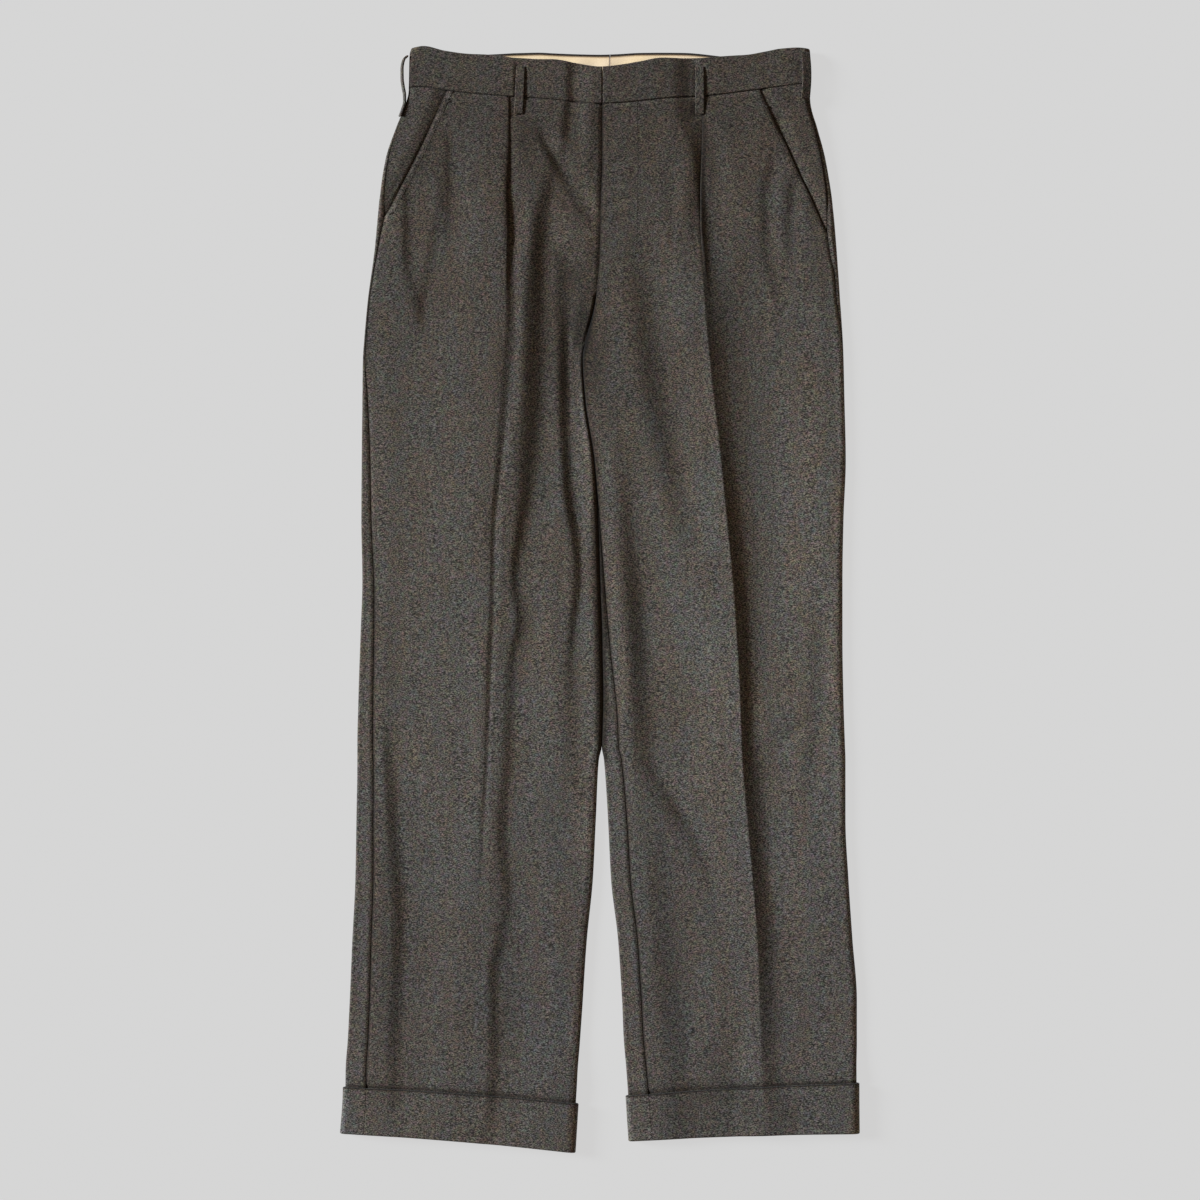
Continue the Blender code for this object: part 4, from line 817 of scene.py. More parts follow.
# The rounded edge that faces the light is toned down, by a share for each kind of piece.
LIT_EDGE_SHARE = 0.25
LIT_EDGE_SHARE_TURNUP = 0.75
LIT_EDGE_WIDTH = 6.0
LIT_EDGE_ENDS = (300.0, 60.0)  # the right leg's from this y on less, over this height
# Painted light on the far rounded edge: a width and a share.
FAR_EDGE_WIDTH = 12.0
FAR_EDGE_SHARE = 0.7
# At a piece's own rims: a width and a share for its sides and for its two ends.
PANEL_RIMS = ((2.0, 0.55), (1.3, 0.35))
BAND_RIMS = ((1.6, 0.5), (1.7, 0.5))
TURNUP_RIMS = ((1.0, 0.1), (1.7, 0.5))
LINING_RIMS = ((1.3, 0.7), (2.0, 0.9))
LOOP_RIMS = ((1.1, 0.22), (1.3, 0.35))
SIDE_LOOP_RIMS = ((0.8, 0.0), (1.0, 0.2))

# Where the legs touch, the cloth is dark over this width from their inner edges.
PARTING_SHADE = Table("y minus_x plus_x",
    (296, 0, 0), (272, 3, 3.5), (250, 4.5, 4.5), (225, 4.5, 4.5), (120, 6, 6), (60, 14, 8),
    (20, 15, 8), (-60, 14, 8), (-120, 13, 8), (-150, 8, 7), (-172, 0, 0))

# What a front panel loses beside its seams: the right outer one, the left inner one and the fly.
SEAM_SHADE = Table("y right left",
    (505, 0, 0.5), (280, 0, 0.5), (220, 0, 0), (120, 0, 0), (40, 0.45, 0), (0, 0.58, 0.45),
    (-560, 0.58, 0.58))

PLEAT_SHADE = Table("y right left",
    (502, 0.18, 0.5), (480, 0.3, 0.75), (340, 0.3, 0.7), (290, 0.22, 0.45), (230, 0.1, 0.2),
    (180, 0, 0))


def painted_patches(*rows):
    return named("at_x at_y reach_x reach_y share tilt", *rows)


# Painted shade where less of the light gets in, and painted light where more of it falls (share
# below 0).
PAINTED_LIGHT_PATCHES = {
    "right waistband": painted_patches(
        (-184, 520, 40, 50, 0.16), (-157, 494, 8, 16, 0.35), (-190, 525, 8, 45, 0.4),
        (-176, 495, 22, 18, -0.14)),
    "right hip": painted_patches(
        (-6, 390, 9, 90, -0.45), (-186, 462, 26, 55, 0.25), (-178, 378, 20, 50, 0.14),
        (-78, 462, 18, 60, 0.35), (-82, 395, 9, 60, 0.28), (-142, 385, 17, 52, 0.16),
        (-126, 415, 10, 32, 0.14), (-213, 400, 9, 55, -0.45), (-36, 396, 8, 15, 0.35, -0.4),
        (-24, 455, 12, 42, 0.2), (-14, 362, 15, 17, -0.35), (-52, 440, 10, 30, -0.15),
        (-88, 378, 6, 40, -0.35), (-30, 415, 16, 60, 0.16)),
    "right thigh": painted_patches(
        (-2, 238, 20, 66, 0.4, 0.12), (-21, 276, 27, 86, 0.5), (-50, 250, 16, 110, 0.22, 0.05),
        (-36.5, 222, 11, 66, 0.45, -0.04), (-26, 325, 22, 24, 0.4), (-9, 278, 6.5, 46, 0.5, 0.31),
        (-160, 300, 24, 56, 0.26, 0.1), (-21.5, 212, 9, 66, 0.35, -0.05),
        (-54, 125, 13, 52, 0.18), (-9, 262, 9, 24, 0.4, 0.2), (-22, 236, 7, 42, 0.22),
        (-152, 318, 20, 48, 0.14, 0.1), (-168, 338, 14, 60, 0.08), (-101, 228, 7, 52, 0.25, 0.03),
        (-80, 235, 6, 110, -0.3, 0.06)),
    "right knee": painted_patches(
        (-126, -50, 14, 120, -0.14, 0.05), (-214, -80, 20, 130, 0.14),
        (-125, -145, 10, 62, -0.25), (-48, -110, 14, 130, -0.16), (-34, 20, 8, 75, -0.22),
        (-145, 80, 40, 130, -0.05)),
    "right shin": painted_patches(
        (-180, -320, 42, 240, 0.13), (-133, -245, 17, 95, -0.2), (-110, -525, 15, 40, -0.22),
        (-92, -400, 18, 90, 0.16), (-16, -240, 19, 66, -0.3), (-28, -425, 12, 32, -0.25),
        (-217, -330, 13, 210, 0.14), (-206, -520, 45, 36, -0.1), (-184, -465, 32, 38, 0.13)),
    "left waistband": painted_patches(
        (86, 522, 13, 62, 0.4), (197, 530, 6, 38, 0.3), (206, 520, 4, 42, -0.4)),
    "left hip": painted_patches(
        (110, 446, 13, 66, 0.34), (64, 462, 15, 30, -0.22), (86, 380, 10, 34, -0.2),
        (151, 440, 11, 125, -0.15), (190, 438, 9, 32, -0.25), (70, 395, 26, 90, -0.08),
        (20, 445, 12, 110, -0.06)),
    "left thigh": painted_patches(
        (6, 190, 18, 60, 0.25, -0.1), (212, 110, 60, 270, -0.34, -0.03),
        (75, 215, 40, 110, 0.14, -0.15), (95, 262, 17, 66, 0.22), (107, 158, 15, 76, 0.16, -0.08),
        (138, 110, 13, 175, -0.4, -0.11), (27, 175, 10, 38, -0.25),
        (240.5, 255, 7, 190, -0.5, -0.02), (215, 282, 14, 42, -0.2), (168, 285, 10, 42, -0.18),
        (106, 300, 7, 44, -0.2, -0.05)),
    "left knee": painted_patches(
        (39, -10, 15, 130, 0.32, -0.06), (157, -128, 13, 52, -0.6), (76, -108, 34, 85, 0.17),
        (52, -120, 13, 52, 0.2), (154, -60, 9, 100, -0.3, -0.06),
        (120, -70, 24, 110, -0.16, -0.12), (236, -190, 12, 130, -0.3, 0.03),
        (10, -115, 5, 40, 0.35)),
    "left shin": painted_patches(
        (108, -520, 80, 60, 0.17), (92, -320, 40, 150, 0.14, -0.02),
        (114, -238, 17, 62, 0.15, -0.45), (118, -462, 32, 50, 0.2), (148, -505, 11, 60, 0.25),
        (192, -517, 12, 30, 0.15), (118, -497, 42, 10, 0.25), (196, -265, 26, 175, -0.14),
        (173, -285, 11, 50, -0.15), (242, -415, 10, 60, -0.2)),
}


# One patch of painted shade, or of painted light where its share is below 0.
def one_painted_patch(x, y, at_x, at_y, reach_x, reach_y, share, tilt):
    away = np.abs(x - at_x - tilt * (y - at_y)) / reach_x
    return share * fall(away) * fall(np.abs(y - at_y) / reach_y)


# The share of the light left after all the patches of painted shade and painted light.
def painted_patch_shade(x, y):
    left = 1.0
    for group in PAINTED_LIGHT_PATCHES.values():
        for patch in group:
            left = left * (1 - one_painted_patch(x, y, **patch))
    return left


def line_shade(distance, width, share):
    return 1 - share * fall(np.abs(distance) / width)


def lit_edge_shade(leg, points, share):
    """Painted shade on the rounded edge that faces the light, and painted light on the far one."""
    x, y = points[..., 0], points[..., 1]
    low = two_tubes(y)
    end_y, end_height = LIT_EDGE_ENDS
    legs = 1 - np.clip((y - end_y) / end_height, 0.0, 1.0)
    lit, far = (leg.outer(y), leg.inner(y)) if leg is RIGHT else (leg.inner(y), leg.outer(y))
    lit_share = share * (legs if leg is RIGHT else low)
    far_share = FAR_EDGE_SHARE * (low if leg is RIGHT else 1.0)
    return (line_shade(x - lit, LIT_EDGE_WIDTH, lit_share)
            * line_shade(x - far, FAR_EDGE_WIDTH, -far_share))


def leg_shade(leg, points):
    """The light left in the ditches of a leg: between the legs, at the fly, mouth and turn-up."""
    x, y, z = points[..., 0], points[..., 1], points[..., 2]
    inner = x - leg.inner(y)
    parting = np.where(inner < 0, PARTING_SHADE.at("minus_x", y), PARTING_SHADE.at("plus_x", y))
    hem = y - hem_y(leg, x, TURNUP_FIRST_ROW)
    plus, minus = PLEAT_SHADE_WIDTHS
    beside = x - PLEAT.at(leg.name, y)
    away = np.where(beside > 0, beside / plus, -beside / minus)
    pleat = PLEAT_SHADE.at(leg.name, y) * fall(away)
    ditches = (line_shade(inner, np.maximum(parting, 0.01), PARTING_SHARE)
               * line_shade(hem, *HEM_LINE) * (1 - pleat) * painted_patch_shade(x, y))
    on_top = z > TUBE.at("base", y) + CLOTH_TOP
    shade = np.where(on_top, ditches, 1.0) * lit_edge_shade(leg, points, LIT_EDGE_SHARE)
    if leg is RIGHT:
        shade = shade * mix(line_shade(inner, *FLY_LINE), 1.0, two_tubes(y))
    return shade


def seam_shade(leg, points):
    at_minus_x = points[..., 0] < points[..., 0].mean(axis=1, keepdims=True)
    share = SEAM_SHADE.at(leg.name, points[..., 1]) * at_minus_x
    return line_shade(from_rim(points, 1), SEAM_SHADE_WIDTH, share)


def turnup_shade(points):
    return line_shade(run_along(points), *TURNUP_TOP_LINE)


# --- meshes ---
def normals(points):
    normal = np.cross(np.gradient(points, axis=1), np.gradient(points, axis=0))
    return normal / norm(normal, axis=2, keepdims=True)


def outward(points, on_top):
    """The normals away from the inside of the leg; on_top is true for a front."""
    out = normals(points)
    faces_up = out[len(out) // 2, points.shape[1] // 2, 2] > 0
    return out if faces_up == on_top else -out


def from_rim(points, axis):
    """The distance along the cloth from the nearer of the two rims that an axis runs between."""
    run = run_along(points, axis)
    return np.minimum(run, np.take(run, [-1], axis) - run)


def pressed(points, on_top):
    """A panel's points, pressed in a little at its seams."""
    out = outward(points, on_top)
    first, span = FACING_UP
    facing_up = np.clip((out[..., 2] - first) / span, 0.0, 1.0)
    at_fork = fall(np.abs(points[..., 1] - FORK_Y) / FORK_REACH)
    rim = np.minimum(from_rim(points, 0), from_rim(points, 1))
    depth = SEAM_PRESS * fall(rim / SEAM_PRESS_WIDTH) * facing_up * (1 - at_fork)
    return points - out * depth[..., None]


def turnup_dip(leg, points):
    """How far the cloth of a leg is pressed in along the top edge of its turn-up."""
    reach = points[..., 1] - hem_y(leg, points[..., 0], TURNUP_FIRST_ROW)
    return TURNUP_DIP * fall(np.abs(reach) / TURNUP_DIP_WIDTH)


def closed_wall(points, thickness, blunt):
    """Vertices and faces of a wall round a grid of middle points, with rounded edges."""
    radius = thickness / 2
    rim = np.minimum(from_rim(points, 0), from_rim(points, 1) * blunt)
    inset = 1 - np.minimum(rim / radius, 1.0)
    half = radius * np.sqrt(1 - inset * inset)
    out = normals(points) * half[..., None]
    rows, columns = points.shape[:2]
    top = np.arange(rows * columns).reshape(rows, columns)
    bottom = top.copy()
    inner = (rows - 2) * (columns - 2)
    bottom[1:-1, 1:-1] = rows * columns + np.arange(inner).reshape(rows - 2, columns - 2)
    vertices = join((points + out).reshape(-1, 3), (points - out)[1:-1, 1:-1].reshape(-1, 3))
    faces = [np.stack((a[:-1, :-1], a[:-1, 1:], a[1:, 1:], a[1:, :-1]), axis=2).reshape(-1, 4)
             for a in (top, bottom)]
    faces = join(faces[0], faces[1][:, ::-1])
    corners = vertices[faces]
    volume = np.einsum("ij,ij->", corners[:, 0], np.cross(corners[:, 1], corners[:, 2])
                       + np.cross(corners[:, 2], corners[:, 3]))
    return vertices, faces if volume > 0 else faces[:, ::-1]


def add_object(name, data):
    thing = bpy.data.objects.new(name, data)
    bpy.context.scene.collection.objects.link(thing)
    return thing


def add_mesh(name, vertices, faces, material):
    """A mesh of corners in millimetres."""
    mesh = bpy.data.meshes.new(name)
    mesh.from_pydata((np.array(vertices) * METRES).tolist(), [], [list(face) for face in faces])
    mesh.materials.append(material)
    return add_object(name, mesh)


def add_piece(name, vertices, faces, material, shade=None):
    piece = add_mesh(name, vertices, faces, material)
    if shade is not None:
        piece.data.attributes.new(SHADE, "FLOAT", "POINT").data.foreach_set("value", shade)
    piece.data.shade_smooth()
    piece.data.update()
    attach(piece, "root")
    return piece


LEAST_AREA = 0.31  # of a sheet, as a share of its width times its length


def cloth(node, points, thickness, rims, rests_on=(), shade=1.0, blunt=1.0, finish="wool"):
    """A shell that stands for a CAD node, whose own mesh is hidden; its opened-out size and area
    are worked out.
    """
    for axis, line in zip((1, 0), rims):
        shade = shade * line_shade(from_rim(points, axis), *line)
    shade = join(shade.ravel(), shade[1:-1, 1:-1].ravel())
    wall = closed_wall(points, thickness, blunt)
    piece = add_piece(node + "_cloth", *wall, MATERIALS[finish], shade)
    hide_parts(node)
    width, length = ((run_along(points, axis).max() + thickness) * METRES for axis in (1, 0))
    area = norm(np.cross(np.diff(points, axis=1)[:-1], np.diff(points, axis=0)[:, :-1]),
                axis=2).sum() * METRES * METRES
    area = min(max(area, LEAST_AREA * width * length), width * length)
    rests_on = [below + "_cloth" for below in rests_on]


# --- materials ---
class Finish:
    """A Principled material whose textures are laid out in millimetres on the model."""

    def __init__(self, name, roughness, specular, sheen=0.0):
        self.material = bpy.data.materials.new(name)
        self.material.use_nodes = True
        self.nodes = self.material.node_tree.nodes
        self.shader = self.nodes["Principled BSDF"]
        self.feed(self.shader, Roughness=roughness, Specular_IOR_Level=specular,
                  Sheen_Weight=sheen, Sheen_Roughness=0.5)
        self.place = self.nodes.new("ShaderNodeTexCoord").outputs["Object"]

    def feed(self, node, **inputs):
        """Links a socket to each named input, or sets its value."""
        for name, value in inputs.items():
            self.feed_one(node.inputs[name.replace("_", " ")], value)

    def feed_one(self, socket, value):
        if isinstance(value, bpy.types.NodeSocket):
            self.material.node_tree.links.new(value, socket)
        else:
            socket.default_value = value

    def new(self, kind, **inputs):
        node = self.nodes.new("ShaderNode" + kind)
        self.feed(node, **inputs)
        return node

    def noise(self, size, detail=0.0, distortion=0.0, shift=0.0):
        """A noise texture with features of about that size along x, y and z."""
        mapping = self.new("Mapping", Vector=self.place, Scale=[1 / (METRES * s) for s in size],
                           Location=(shift, shift, shift))
        return self.new("TexNoise", Vector=mapping.outputs["Vector"], Scale=1.0, Detail=detail,
                        Roughness=0.5, Distortion=distortion)

    def spread(self, value, low, high, to_low=0.0, to_high=1.0):
        """Stretches a value so that low becomes to_low and high becomes to_high."""
        return self.new("MapRange", Value=value, From_Min=low, From_Max=high, To_Min=to_low,
                        To_Max=to_high).outputs["Result"]

    def blend(self, share, a, b, way="MIX"):
        """A colour between a and b; each is a socket or a colour."""
        node = self.new("Mix")
        node.data_type = "RGBA"
        node.blend_type = way
        self.feed_one(node.inputs[0], share)
        for k, value in ((6, a), (7, b)):
            self.feed_one(node.inputs[k], (*value, 1.0) if isinstance(value, tuple) else value)
        return node.outputs[2]

    def times(self, a, b):
        return self.blend(1.0, a, b, way="MULTIPLY")

    def along_y(self, table):
        """A colour that changes along the model as a table of red, green and blue says."""
        height = self.new("SeparateXYZ", Vector=self.place).outputs["Y"]
        first, last = table.keys[0], table.keys[-1]
        ramp = self.new("ValToRGB", Fac=self.spread(height, first * METRES, last * METRES))
        stops = ramp.color_ramp.elements
        while len(stops) < len(table.keys):
            stops.new(0.5)
        for stop, key in zip(stops, table.keys):
            stop.position = (key - first) / (last - first)
            stop.color = (*(float(table.at(name, key)) for name in ("red", "green", "blue")), 1.0)
        return ramp.outputs["Color"]

    def bump(self, height, distance):
        bump = self.new("Bump", Height=height, Distance=distance * METRES, Strength=1.0)
        self.feed(self.shader, Normal=bump.outputs["Normal"])

    def colour(self, socket):
        """Sets the colour, with painted shade: darker and warmer in seams and creases, as the
        shade attribute says.
        """
        ditch = self.new("Attribute")
        ditch.attribute_name = SHADE
        warm = self.blend(ditch.outputs["Fac"], PAINTED_SHADE_TINT, (1.0, 1.0, 1.0))
        socket = self.times(self.times(socket, ditch.outputs["Color"]), warm)
        self.feed(self.shader, Base_Color=socket)


# The warm tint of the painted shade in seams and creases.
PAINTED_SHADE_TINT = (1.0, 0.8, 0.62)
YARN_COLOURS = ((0.018, 0.016, 0.014), (0.145, 0.134, 0.120))
DRIFT_COLOURS = ((1.05, 0.98, 0.925), (0.95, 1.0, 1.05))
COTTON_COLOURS = ((0.90, 0.72, 0.46), (0.86, 0.70, 0.50))
COTTON_WEAVE_COLOUR = (0.74, 0.56, 0.34)
THREAD_COLOURS = ((0.018, 0.015, 0.012), (0.06, 0.052, 0.044))

# Painted light and shade along the model: the wool is painted a little darker and browner towards
# the waist, where less light falls, and lightest about the knees.
PAINTED_LIGHT_ALONG_Y = Table("y red green blue",
    (-550, 0.805, 0.795, 0.79), (-400, 0.765, 0.762, 0.778), (-100, 0.895, 0.88, 0.855),
    (200, 0.73, 0.705, 0.675), (360, 0.66, 0.625, 0.585), (480, 0.6, 0.552, 0.508),
    (560, 0.6, 0.552, 0.508))


def make_wool(name, streaks):
    """Worsted of mixed dark, grey and cream yarn with flecks of blue, rust and olive."""
    finish = Finish(name, roughness=0.9, specular=0.2, sheen=0.12)
    streak = finish.noise(streaks, distortion=0.35).outputs["Fac"]
    grain = finish.noise((0.95, 0.6, 0.9), shift=7.0).outputs["Fac"]
    yarn = finish.blend(finish.spread(streak, 0.34, 0.66), *YARN_COLOURS)
    fleck = finish.spread(grain, 0.3, 0.7, 0.4, 1.6)
    grey = finish.new("CombineColor", Red=fleck, Green=fleck, Blue=fleck)
    yarn = finish.times(yarn, grey.outputs["Color"])
    hue = finish.noise((4.4, 4.2, 4.4), shift=31.0)
    yarn = finish.blend(0.22, yarn, hue.outputs["Color"], way="OVERLAY")
    drift = finish.noise((17.0, 64.0, 17.0), detail=2.0, distortion=0.4, shift=3.0).outputs["Fac"]
    yarn = finish.times(yarn, finish.blend(finish.spread(drift, 0.38, 0.62), *DRIFT_COLOURS))
    # The painted light and shade along y goes into the colour here.
    finish.colour(finish.times(yarn, finish.along_y(PAINTED_LIGHT_ALONG_Y)))
    finish.bump(streak, 0.12)
    return finish.material


def make_cotton():
    finish = Finish("cream cotton", roughness=0.8, specular=0.25, sheen=0.1)
    weave = finish.noise((0.8, 0.6, 0.8), detail=2.0).outputs["Fac"]
    stain = finish.noise((26.0, 18.0, 20.0), detail=2.0, shift=5.0).outputs["Fac"]
    pale = finish.blend(finish.spread(stain, 0.35, 0.65), *COTTON_COLOURS)
    share = finish.spread(weave, 0.2, 0.8, 0.0, 0.25)
    finish.colour(finish.blend(share, pale, COTTON_WEAVE_COLOUR))
    finish.bump(weave, 0.15)
    return finish.material


def make_thread():
    finish = Finish("thread", roughness=0.6, specular=0.35)
    twist = finish.noise((0.5, 0.5, 0.5), detail=1.0).outputs["Fac"]
    finish.feed(finish.shader, Base_Color=finish.blend(twist, *THREAD_COLOURS))
    return finish.material


MATERIALS = {
    "wool": make_wool("wool", (1.8, 0.8, 1.3)),
    "wool loops": make_wool("wool loops", (0.8, 1.8, 1.3)),
    "cotton": make_cotton(),
    "thread": make_thread(),
}


# --- pieces ---
def band_points(leg):
    """Middle surface of a waistband half, from centre front round the side to centre back."""
    start = edge_start(BAND_Y, BAND)
    quarter = edge_radius(BAND_Y, BAND) * math.pi / 2
    front_end, back_end = (leg.p(BAND_Y, OUTLINE.at(name, BAND_Y)) - GAP / 2
                           for name in ("centre", "centre_back"))
    bend, under = start + quarter, start - quarter
    last = 2 * start - back_end
    front_step, back_step = BAND_STEPS
    s = join(front_end - BAND_RIM, steps_between(front_end - BAND_RIM[-1], bend, front_step)[1:],
             np.linspace(bend, under, BAND_BEND_COLUMNS)[1:],
             steps_between(under, last + BAND_RIM[-1], back_step)[1:], last + BAND_RIM[:-1][::-1])
    s, share = np.meshgrid(s, crowded(BAND_HEIGHT, BAND_ROW_STEP, BAND_RIM) / BAND_HEIGHT)
    level = np.full_like(s, BAND_Y)
    x, z = ring(leg, level, s, wall=BAND)
    flat_z = z - np.where(s > BAND, lift(leg, x, level), 0.0)
    seam = waist_y(x, flat_z, BAND, "seam") + GAP / 2
    y = mix(seam, waist_y(x, flat_z, BAND, "top"), share)
    inset = (leg.outer(y) - leg.outer(BAND_Y)) * fall(leg.p(BAND_Y, x) / BAND_TAPER)
    return np.stack((x + inset, y, ring(leg, y, s, wall=BAND)[1]), axis=2)


def lining_points(leg):
    centre = OUTLINE.at("centre_back", BAND_Y) + leg.side * GAP / 2
    end = leg.side * LINING_END_X
    length = abs(end - centre)
    across_step, y_step = LINING_STEPS
    t, share = np.meshgrid(crowded(length, across_step) / length,
                           crowded(LINING_HEIGHT, y_step) / LINING_HEIGHT)
    x = mix(centre, end, t)
    y = mix(WAIST.at("back_seam", x), WAIST.at("back_top", x), mix(*LINING_SHARES, share))
    sway = PUCKER_SWAY * np.sin(x / PUCKER_SWAY_LENGTH)
    pucker = np.sin(x / PUCKER_LENGTH + sway) * np.sin(math.pi * share)
    return np.stack((x, y, BAND + GAP + LINING / 2 + PUCKER * (1 + pucker)), axis=2)


def turnup_points(leg, panel, on_top):
    """A band round the end of the leg: the leg's own points, moved out."""
    begin, end = hem_distance(TURNUP_FIRST_ROW), hem_distance(TURNUP_LAST_ROW)
    rows = row_at(begin + crowded(end - begin, TURNUP_ROW_STEP, BAND_RIM))
    points = follow(leg, panel, np.zeros(0), rows)
    points = points + outward(points, on_top) * (CLOTH / 2 + GAP + BAND / 2)
    for rim, beside in ((0, 1), (-1, -2)):
        way = points[:, rim] - points[:, beside]
        points[:, rim] += TURNUP_REACH * way / norm(way, axis=1, keepdims=True)
    return points


def skin_top(leg, x, y):
    return TUBE.at("base", y) + TUBE.at("height", y) + lift(leg, x, y)


def loop_arch(t):
    return np.sin(math.pi * np.clip(t, 0, 1)) ** LOOP_FULLNESS


def loop_grid(length):
    """Shares across and along a loop, with lines crowded at its rims."""
    along, across = (crowded(size, step, LOOP_RIM) / size
                     for size, step in zip((length, LOOP_WIDTH), LOOP_STEPS))
    return np.meshgrid(across, along)


def front_loop_points(leg):
    top_x, bottom_x = FRONT_LOOP_X[leg.name]
    across, t = loop_grid(FRONT_LOOP_TOP_Y - FRONT_LOOP_BOTTOM_Y)
    middle = mix(bottom_x, top_x, t)
    y = mix(FRONT_LOOP_BOTTOM_Y, FRONT_LOOP_TOP_Y, t)
    half = LOOP_WIDTH / 2
    under = np.max([skin_top(leg, middle + reach, y) for reach in (-half, 0.0, half)], axis=0)
    z = under + GAP + LOOP / 2 + FRONT_LOOP_STAND * loop_arch(t)
    return np.stack((middle + (across - 0.5) * LOOP_WIDTH, y, z), axis=2)


RIGHT_SIDE_LOOP = numbered("x y",
    (-192.9, 544), (-195.4, 542.6), (-197.4, 538.6), (-198.5, 531), (-198.4, 522), (-197.3, 513),
    (-196, 505.5), (-195.9, 499), (-197.9, 491.5), (-200.6, 484))


def drawn(table, count):
    """Places x, y on a smooth line through a table's rows."""
    row = np.linspace(0.0, table.keys[-1], count)
    return table.at("x", row), table.at("y", row)


def right_side_loop_points():
    """It stands on its edge and follows a line in x and y."""
    x, y = drawn(RIGHT_SIDE_LOOP, 181)
    run = run_along(np.stack((x, y), axis=1))
    across, along = loop_grid(run[-1])
    place = along * run[-1]
    lean = SIDE_LOOP_LEAN * (across - SIDE_LOOP_PIVOT)
    return np.stack((np.interp(place, run, x) - lean, np.interp(place, run, y),
                     GAP + across * LOOP_WIDTH), axis=2)


def left_side_loop_points():
    across, t = loop_grid(SIDE_LOOP_TOP_Y - SIDE_LOOP_BOTTOM_Y)
    x = SIDE_LOOP_X - SIDE_LOOP_WAIST * (1 - np.sin(math.pi * t)) + (across - 1) * LOOP_WIDTH
    y = mix(SIDE_LOOP_BOTTOM_Y, SIDE_LOOP_TOP_Y, t)
    rest_z = TUBE.at("height", SEAM_Y) + GAP + LOOP / 2 + SIDE_LOOP_LIFT
    z = rest_z - SIDE_LOOP_TILT * across + SIDE_LOOP_STAND * loop_arch(t)
    return np.stack((x, y, z), axis=2)


# --- stitches ---
STITCH_PITCH = 3.1
STITCH_LENGTH = 2.5
STITCH_RADIUS = 0.24
STITCH_SHARES = (0.0, 0.22, 0.78, 1.0)
STITCH_GIRTHS = (0.15, 1.0, 1.0, 0.15)
STITCH_SIDES = 5
STITCH_STAND = 0.3 * STITCH_RADIUS  # a stitch's middle is this much above the cloth
TACK_PITCH = 0.62  # the stitches of a bar tack lie this close
TACK_HALF = 0.9  # and reach this far to both sides
MOUTH_STITCH_IN = {"right": 6.0, "left": 5.4}
MOUTH_STITCH_TOP_Y = 494.0
MOUTH_STITCH_END = 6.0  # above the mouth's end

FLY_STITCH = numbered("x y",
    (37, 497), (37.5, 440), (37, 380), (35, 348), (28, 326), (16, 313), (3, 308))
BAR_TACKS = {
    "right": named("x y run_x run_y", (-153.5, 497, 4, 2), (-211, 386, 4, 2)),
    "left": named("x y run_x run_y", (9, 377, 5, -3), (2.2, 312, 6), (163, 495, 4, -2),
                  (219, 374, 4, -2)),
}


def front_top(leg, x, y):
    """The upper side of a front away from its rims."""
    return skin_top(leg, x, y) + gape(leg, y, leg.p(y, x) - side_place(leg, y))


def stitch_mesh(starts, ends):
    """Vertices and faces of one spindle from each start to its end."""
    way = ends - starts
    length = norm(way, axis=1, keepdims=True)
    way = way / length
    side = np.cross(way, (0.0, 0.0, 1.0))
    side /= norm(side, axis=1, keepdims=True)
    up = np.cross(side, way)
    rings = []
    for share, girth in zip(STITCH_SHARES, STITCH_GIRTHS):
        for turn in np.arange(STITCH_SIDES) * 2 * math.pi / STITCH_SIDES:
            out = STITCH_RADIUS * girth * (math.cos(turn) * side + math.sin(turn) * up)
            rings.append(starts + way * length * share + out)
    vertices = np.stack(rings, axis=1)
    count = vertices.shape[1]
    faces = [range(STITCH_SIDES)[::-1], range(count - STITCH_SIDES, count)]
    for first in range(0, count - STITCH_SIDES, STITCH_SIDES):
        for j in range(STITCH_SIDES):
            a, b = first + j, first + (j + 1) % STITCH_SIDES
            faces.append((a, b, b + STITCH_SIDES, a + STITCH_SIDES))
    vertices = vertices.reshape(-1, 3)
    starts = range(0, len(vertices), count)
    return vertices, [[start + k for k in face] for face in faces for start in starts]


def on_front(leg, x, y, stand):
    return np.stack((x, y, front_top(leg, x, y) + stand), axis=1)


def run_of_stitches(leg, x, y):
    """Starts and ends of stitches on a front along a line."""
    run = run_along(np.stack((x, y), axis=1))
    first = np.arange(0.0, run[-1] - STITCH_LENGTH, STITCH_PITCH)
    return [on_front(leg, np.interp(place, run, x), np.interp(place, run, y), STITCH_STAND)
            for place in (first, first + STITCH_LENGTH)]


def bar_tack(leg, x, y, run_x, run_y):
    """Starts and ends of the close stitches across a short line."""
    length = math.hypot(run_x, run_y)
    share = np.arange(0.0, 1.0, TACK_PITCH / length)
    return [on_front(leg, x + run_x * share - k * run_y / length,
                     y + run_y * share + k * run_x / length, STITCH_RADIUS)
            for k in (-TACK_HALF, TACK_HALF)]


def stitching(leg):
    """Top stitching of the fly and of the pocket mouth, and bar tacks, joined for each front."""
    y = np.linspace(MOUTH_STITCH_TOP_Y, POCKET_END_Y[leg.name] + MOUTH_STITCH_END, 90)
    runs = [run_of_stitches(leg, MOUTH.at(leg.name, y) - leg.side * MOUTH_STITCH_IN[leg.name], y)]
    if leg is LEFT:
        runs.append(run_of_stitches(leg, *drawn(FLY_STITCH, 200)))
    runs += [bar_tack(leg, **tack) for tack in BAR_TACKS[leg.name]]
    starts, ends = (join(*both) for both in zip(*runs))
    add_piece(leg.name + "_stitches", *stitch_mesh(starts, ends), MATERIALS["thread"])


